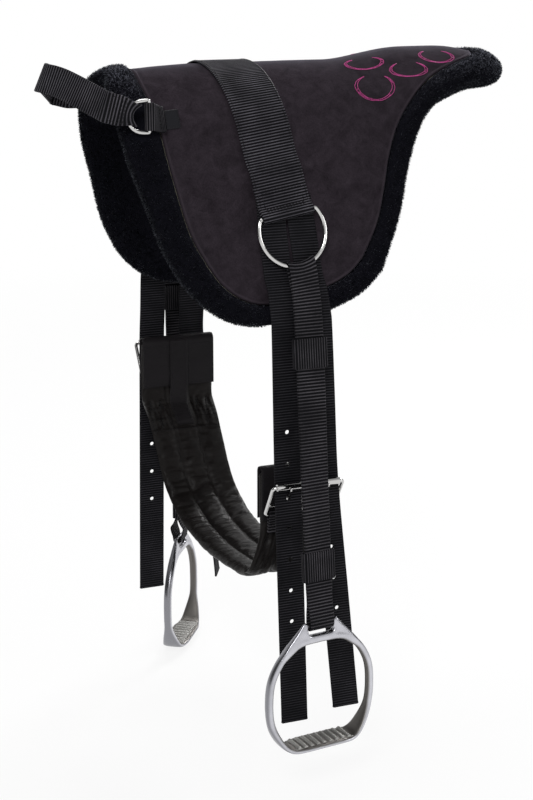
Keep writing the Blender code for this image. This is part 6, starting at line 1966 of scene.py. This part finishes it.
def dress_strap(side, finishes):
    piece, strip = weave("stirrup_strap_webbing_" + side, strap_rows(side), finishes["webbing"], True)
    dress(piece, "strap_" + side, "webbing", "stirrup_strap_" + side)
    # The loop is closed by a sewn lap on its inner run
    centre = strip.length * 0.62
    face = strip.facing(centre, -strap_station(side, 0.5)[3])
    sew("stirrup_strap_stitching_" + side, "strap_" + side,
        box_stitch(strip, centre - 0.022, centre + 0.022, 0.12, 0.88, face, rows=(centre,)),
        finishes["thread"])
    for name, body, drop in (("upper_keeper_" + side, "strap_" + side, UPPER_KEEPER_DROP),
                             ("lower_keeper_" + side, "sliding_keeper_" + side, LOWER_KEEPER_DROP[side])):
        dress_keeper(name, side, body, strap_depth_share(side, drop), finishes)


def dress_keeper(name, side, body, share, finishes):
    """A webbing sleeve, woven the narrow way, so its ribs run down the strap; joined at the back."""
    centre, down, across, out = strap_station(side, share)
    half_x = WEB_WIDTH / 2 + KEEPER_PLAY + WEB_THICKNESS / 2
    half_y = STRAP_HALF + WEB_THICKNESS + GAP + KEEPER_PLAY / 2
    rows = []
    for point in rounded_rectangle(half_x, half_y, -half_y, WEB_THICKNESS, 2):
        base = centre + across * point.x + out * point.z
        rows.append([base + down * KEEPER_LENGTH * end for end in (-0.5, 0.0, 0.5)])
    piece, strip = weave(name + "_webbing", rows, finishes["webbing"], True, pitch=KEEPER_RIB_PITCH)
    dress(piece, body, "webbing", name)
    middle = np.array(centre)
    face = strip.facing(strip.length * 0.5, strip.at(strip.length * 0.5, 0.5)[0] - middle)
    places = [strip.length * step / 80 for step in range(80)]
    back = [p for p in places if (strip.at(p, 0.5)[0] - middle) @ np.array(out) < -half_y * 0.98][-1]
    runs = [stitch_run(strip, (back - shift, 0.1), (back - shift, 0.9), face) for shift in (0.012, 0.016)]
    sew(name + "_stitching", body, runs, finishes["thread"])


def casting_mesh(finishes):
    """The stirrup's bow and eye melted into one cast form, in the stirrup's own frame."""
    stations = stirrup_stations()
    sides = 28
    rings = []
    for index, (point, thick, depth) in enumerate(stations):
        along = (stations[(index + 1) % len(stations)][0] - stations[index - 1][0]).normalized()
        out = Vector((along.z, 0.0, -along.x))
        ring = []
        for step in range(sides):
            angle = math.tau * (step + 0.5) / sides
            c, s = math.cos(angle), math.sin(angle)
            square = (abs(c) ** 3.2 + abs(s) ** 3.2) ** (-1 / 3.2)
            ring.append(tuple(point + out * thick * c * square + Vector((0.0, depth * s * square, 0.0))))
        rings.append(ring)
    work = bmesh.new()
    for form in (loft("casting_bow", rings, finishes["aluminium"], True), eye_form(finishes),
                 shoulder_web(finishes, 1.0), shoulder_web(finishes, -1.0)):
        work.from_mesh(form.data)
        bpy.data.objects.remove(form)
    bmesh.ops.recalc_face_normals(work, faces=work.faces)
    form = new_object("casting", bpy.data.meshes.new("casting"))
    work.to_mesh(form.data)
    work.free()
    remesh = form.modifiers.new("cast", "REMESH")
    remesh.mode = "VOXEL"
    remesh.voxel_size = 0.0008
    polish = form.modifiers.new("polish", "SMOOTH")
    polish.factor = 0.5
    polish.iterations = 22
    cast = applied(form)
    bpy.data.objects.remove(form)
    cast.materials.clear()
    cast.materials.append(finishes["aluminium"])
    cast.shade_smooth()
    # Normals averaged over 3 mm, as a polished casting has no facets
    normals = read(cast.vertices, "normal", 3)
    ends = read(cast.edges, "vertices", 2, np.int64)
    for _ in range(8):
        summed = normals.copy()
        np.add.at(summed, ends[:, 0], normals[ends[:, 1]])
        np.add.at(summed, ends[:, 1], normals[ends[:, 0]])
        normals = unit(summed)
    cast.normals_split_custom_set_from_vertices(normals)
    # The polishing wheel doesn't reach the faces inside the bow
    inward = unit(np.array([0.0, 0.0, -0.45 * STIRRUP_HEIGHT]) - read(cast.vertices, "co", 3))
    facing = (inward * [1.0, 0.0, 1.0] * normals).sum(axis=1)
    # Faces looking out of the bow get the painted dark reflection
    for name, values in (("raw", facing), ("rim", -facing)):
        paint(cast, name, np.clip(values * 1.6 - 0.3, 0, 1))
    return cast


def eye_form(finishes):
    """The slotted eye: a rounded frame that leans out into the bow's shoulders."""
    bar = EYE_BAR_RADIUS * 0.8
    slot_top = -bar
    slot_low = slot_top - STIRRUP_SLOT_HEIGHT
    wide, foot, slot = STIRRUP_EYE_WIDTH / 2, STIRRUP_EYE_FOOT / 2, STIRRUP_SLOT_WIDTH / 2
    chamfer = EYE_BAR_RADIUS * 0.6
    low = -STIRRUP_EYE_HEIGHT
    outer = [(-wide + chamfer, bar), (wide - chamfer, bar), (wide, bar - chamfer), (wide, slot_low),
             (foot * 1.12, low), (-foot * 1.12, low), (-wide, slot_low), (-wide, bar - chamfer)]
    inner = [(-slot, slot_top), (slot, slot_top), (slot, slot_top - chamfer), (slot, slot_low + chamfer),
             (slot * 0.8, slot_low), (-slot * 0.8, slot_low), (-slot, slot_low + chamfer),
             (-slot, slot_top - chamfer)]
    depth = STIRRUP_ARM_DEPTH / 2 * 0.9
    rings = []
    for (ox, oz), (ix, iz) in zip(outer, inner):
        reach = EYE_BAR_RADIUS * 0.6 if oz > slot_low + chamfer * 1.5 else depth * 0.75
        inside = EYE_BAR_RADIUS * 0.6 if iz > slot_low + chamfer * 1.5 else depth
        rings.append([(ox, -reach, oz), (ox, reach, oz), (ix, inside, iz), (ix, -inside, iz)])
    return loft("casting_eye", rings, finishes["aluminium"], True)


def shoulder_web(finishes, side):
    """The web from the eye's horn straight down to the bow's shoulder, thinner towards the horn."""
    horn, low = STIRRUP_EYE_WIDTH / 2 - 0.001, -STIRRUP_EYE_HEIGHT
    # x, z and half depth down the web's outer edge, and down its inner edge
    outer = [(horn, 0.0058, 0.0012), (horn + 0.0098, -0.0060, 0.0030), (horn + 0.0195, -0.0162, 0.0040),
             (horn + 0.0280, -0.0262, 0.0046), (horn + 0.0330, -0.0360, 0.0044)]
    inner = [(horn - 0.0024, 0.0034, 0.0014), (horn - 0.002, -0.006, 0.0030),
             (horn - 0.001, low + 0.004, 0.0040), (horn + 0.014, low - 0.007, 0.0044),
             (horn + 0.026, low - 0.016, 0.0040)]
    rings = [[(side * ox, -od, oz), (side * ox, od, oz), (side * ix, inside, iz), (side * ix, -inside, iz)]
             for (ox, oz, od), (ix, iz, inside) in zip(outer, inner)]
    return loft("casting_web", rings, finishes["aluminium"])


def tread_grip(finishes):
    """Grip ridges across the tread, each rounded over, on one strip sunk into it."""
    floor = -STIRRUP_HEIGHT + STIRRUP_BAR_THICKNESS / 2 + STIRRUP_TREAD_THICKNESS / 2
    face = floor + STIRRUP_TREAD_THICKNESS / 2
    foot = face - RIDGE_HEIGHT / 3
    depth = STIRRUP_TREAD_DEPTH * 0.36
    ends = (RIDGE_COUNT - 1) / 2 * RIDGE_PITCH + RIDGE_BASE
    profile = [(-ends, floor), (-ends, foot)]
    for k in range(RIDGE_COUNT):
        x = (k - (RIDGE_COUNT - 1) / 2) * RIDGE_PITCH
        for step in range(9):
            height = math.sin(math.pi * step / 8) ** 0.6
            profile.append((x + RIDGE_BASE * (step / 8 - 0.5), foot + RIDGE_HEIGHT * 1.25 * height))
    profile += [(ends, foot), (ends, floor)]
    rings = [[(x, y, z if z < face else face + (z - face) * size) for x, z in profile]
             for y, size in ((-depth, 0.3), (-depth * 0.96, 0.85), (-depth * 0.9, 1.0), (depth * 0.9, 1.0),
                             (depth * 0.96, 0.85), (depth, 0.3))]
    piece = loft("tread_grip", rings, finishes["tread"])
    mesh = piece.data
    mesh.set_sharp_from_angle(angle=math.radians(60))
    bpy.data.objects.remove(piece)
    return mesh


def dress_stirrups(finishes):
    cast, grip = casting_mesh(finishes), tread_grip(finishes)
    for side in SIDES:
        for name, mesh, nodes in (("stirrup_casting_" + side, cast, ["stirrup_" + side]),
                                  ("tread_grip_" + side, grip, [])):
            placed = mesh.copy()
            placed.transform(stirrup_frame(side))
            dress(new_object(name, placed), "stirrup_body_" + side, "aluminium", *nodes)


# Front rings, tabs, label and handle

def dress_front(side, finishes):
    path = [front_ring_frame(side) @ p for p in front_ring_path()]
    ring = tube("front_ring_wire_" + side, fillet(path, True, 0.0008), FRONT_RING_WIRE_RADIUS,
                finishes["chrome"], True)
    dress(ring, "pad", "chrome", "front_ring_" + side)
    piece, strip = weave("front_ring_tab_webbing_" + side, front_tab_rows(side), finishes["webbing"],
                         sealed=(True, True), pitch=FRONT_TAB_RIB_PITCH)
    dress(piece, "pad", "webbing", "front_ring_tab_" + side)
    face = strip.facing(strip.length - 0.003, out_of_pad(SIDES[side] * FRONT_RING_DROP))
    sew("front_ring_tab_stitching_" + side, "pad",
        box_stitch(strip, strip.length - 0.009, strip.length - 0.002, 0.1, 0.9, face), finishes["thread"])


def dress_label(finishes):
    """A bare woven label with turned edges, sewn round."""
    start = FRONT_RING_BAR_X + FRONT_TAB_LENGTH + LABEL_SETBACK
    height = GAP + LABEL_THICKNESS / 2
    rows = [[on_pad(start + LABEL_LENGTH * step / 4, -(FRONT_RING_DROP + LABEL_HEIGHT * share), height)
             for share in (-0.5, -0.25, 0.0, 0.25, 0.5)] for step in range(5)]
    piece, strip = weave("front_label_satin", rows, finishes["label"], thickness=LABEL_THICKNESS, pitch=0.003,
                         depth=0.0)
    dress(piece, "pad", "label", "front_label")
    face = strip.facing(LABEL_LENGTH / 2, (0.0, -1.0, 0.0))
    sew("front_label_stitching", "pad",
        box_stitch(strip, 0.0012, LABEL_LENGTH - 0.0012, 0.07, 0.93, face, LABEL_THICKNESS / 2),
        finishes["thread"], 0.0002)


def dress_handle(finishes):
    piece, strip = weave("grab_handle_webbing", handle_rows(), finishes["wide"], sealed=(True, True))
    dress(piece, "handle", "webbing", "grab_handle")
    first = HANDLE_TURNBACK + math.pi * (FRONT_RING_WIRE_RADIUS + HANDLE_LOOP_GAP + WEB_THICKNESS / 2)
    runs = []
    for near, sign in ((first, 1.0), (strip.length - first, -1.0)):
        outward = strip.at(near + sign * 0.012, 0.5)[0] * [0.0, 1.0, 0.0]
        face = strip.facing(near + sign * 0.012, outward)
        runs += box_stitch(strip, near + sign * 0.008, near + sign * 0.024, 0.1, 0.9, face,
                           rows=(near + sign * 0.012, near + sign * 0.020))
    sew("grab_handle_stitching", "handle", runs, finishes["thread"])


# Stage

def seen_rays(tree):
    """1 for the rays that show the white backdrop: seen directly, in metal or through something."""
    rays = add_node(tree, "LightPath").outputs
    mirrored = add_node(tree, "Math", {"operation": "MAXIMUM"},
                        {0: rays["Is Glossy Ray"], 1: rays["Is Transmission Ray"]})
    return add_node(tree, "Math", {"operation": "MAXIMUM"}, {0: rays["Is Camera Ray"], 1: mirrored})


def studio_white():
    """Matt paper sweep: the camera sees it white, the object still shades it."""
    material, tree, surface, place = new_finish("matt_white_paper", "Object", {
        "Base Color": linear("#f2f2f2"), "Roughness": 0.9})
    # Far from the object nothing shades the paper, so it turns wholly white there
    away = add_node(tree, "VectorMath", {"operation": "LENGTH"}, {0: place}).outputs["Value"]
    white = add_node(tree, "MapRange", {"From Min": 0.9, "From Max": 3.0, "To Min": 0.86, "To Max": 1.0},
                     {"Value": away})
    part = add_node(tree, "Math", {"operation": "MULTIPLY"}, {0: seen_rays(tree), 1: white})
    glow = add_node(tree, "Emission", {"Strength": 1.0})
    mix = add_node(tree, "MixShader", {}, {"Fac": part, 1: surface, 2: glow})
    link(tree, tree.nodes["Material Output"], {"Surface": mix})
    return material


def light_world():
    """Even white light. Metal sees it with two dark screens at the pad's ends and a dark ceiling."""
    world = bpy.data.worlds.new("studio")
    bpy.context.scene.world = world
    world.use_nodes = True
    tree = world.node_tree
    light = tree.nodes["Background"]
    light.inputs["Color"].default_value = linear("#ffffff")
    light.inputs["Strength"].default_value = 0.34
    direction = add_node(tree, "TexCoord").outputs["Generated"]
    look = add_node(tree, "SeparateXYZ", {}, {"Vector": direction}).outputs
    ends = add_node(tree, "Math", {"operation": "ABSOLUTE"}, {0: look["X"]})
    screens = add_node(tree, "MapRange", {"From Min": 0.5, "From Max": 0.85, "To Min": 1.0, "To Max": 0.12},
                       {"Value": ends})
    ceiling = add_node(tree, "MapRange", {"From Min": 0.35, "From Max": 0.8, "To Min": 1.0, "To Max": 0.45},
                       {"Value": look["Z"]})
    dark = add_node(tree, "Math", {"operation": "MULTIPLY"}, {0: screens, 1: ceiling})
    camera_ray = add_node(tree, "LightPath").outputs["Is Camera Ray"]
    strength = add_node(tree, "Math", {"operation": "MAXIMUM"}, {0: camera_ray, 1: dark})
    seen = add_node(tree, "Background", {"Color": linear("#ffffff")}, {"Strength": strength})
    mix = add_node(tree, "MixShader", {}, {"Fac": seen_rays(tree), 1: light, 2: seen})
    link(tree, tree.nodes["World Output"], {"Surface": mix})


def set_stage():
    places = [(x, y, FLOOR_Z) for x in np.linspace(-60, 60, 7) for y in (-60.0, -20.0, 20.0, 60.0)]
    add_piece("paper_floor", places, layer_faces(7, 4).tolist(), studio_white())
    light_world()
    # Name, place, aim, size in metres and power in watts
    for name, place, aim, size, power in (("key", (-1.5, -2.3, 1.9), (0.0, 0.0, -0.25), 1.3, 46.0),
                                          ("fill", (2.6, -1.6, 0.5), (0.0, 0.0, -0.3), 1.3, 18.0),
                                          ("top", (0.2, 0.7, 2.3), (0.0, 0.0, -0.1), 1.4, 27.0),
                                          ("rim", (1.9, 1.5, 1.2), (0.1, 0.0, 0.0), 0.9, 40.0)):
        lamp = bpy.data.lights.new(name, "AREA")
        lamp.shape = "DISK"
        lamp.size = size
        lamp.energy = power
        holder = new_object(name, lamp)
        holder.location = place
        holder.rotation_euler = (Vector(aim) - Vector(place)).to_track_quat("-Z", "Y").to_euler()


def set_camera():
    """Camera fitted to the photograph: 22 degrees towards the front, 15.4 degrees above, 1.9 m away."""
    azimuth, elevation = math.radians(-22), math.radians(15.4)
    back = Vector((math.sin(azimuth) * math.cos(elevation), -math.cos(azimuth) * math.cos(elevation),
                   math.sin(elevation)))
    right = Vector((math.cos(azimuth), math.sin(azimuth), 0.0))
    up = back.cross(right)
    focal, width, height, depth = 1700.0, 533, 800, 1.868
    # The ridge at the girth line lies at pixel 228, 62
    ridge_u, ridge_v = (228 - width / 2) / focal, -(62 - height / 2) / focal
    place = Vector((0, 0, PAD_THICKNESS)) - (-back * depth + right * ridge_u * depth + up * ridge_v * depth)
    camera = bpy.data.cameras.new("camera")
    camera.sensor_width = 36.0
    camera.lens = 36.0 * focal / height
    camera.clip_end = 50.0
    holder = new_object("camera", camera)
    holder.matrix_world = Matrix((right, up, back)).transposed().to_4x4()
    holder.location = place
    bpy.context.scene.camera = holder


def main():
    bpy.context.scene.view_settings.view_transform = "Standard"
    finishes = make_finishes()
    seam = outline(FRONT_SEAM_SHARES, LOWER_SEAM_SHARES, REAR_SEAM_SHARES, 112, 224)
    edge = outline(FRONT_EDGE_SHARES, LOWER_EDGE_SHARES, REAR_EDGE_SHARES, 112, 224)
    dress_suede(finishes, seam)
    dress_foam(finishes, seam)
    dress_plush(finishes, seam, edge)
    dress_horseshoes(finishes)
    dress_band(finishes)
    for key in BILLETS:
        dress_billet(key, finishes)
        dress_buckle(key, finishes)
        dress_tab(key, finishes)
    dress_girth(finishes)
    for side in SIDES:
        dress_binding(side, finishes)
        dress_big_ring(side, finishes)
        dress_strap(side, finishes)
        dress_front(side, finishes)
    dress_stirrups(finishes)
    dress_label(finishes)
    dress_handle(finishes)
    set_stage()
    set_camera()


main()
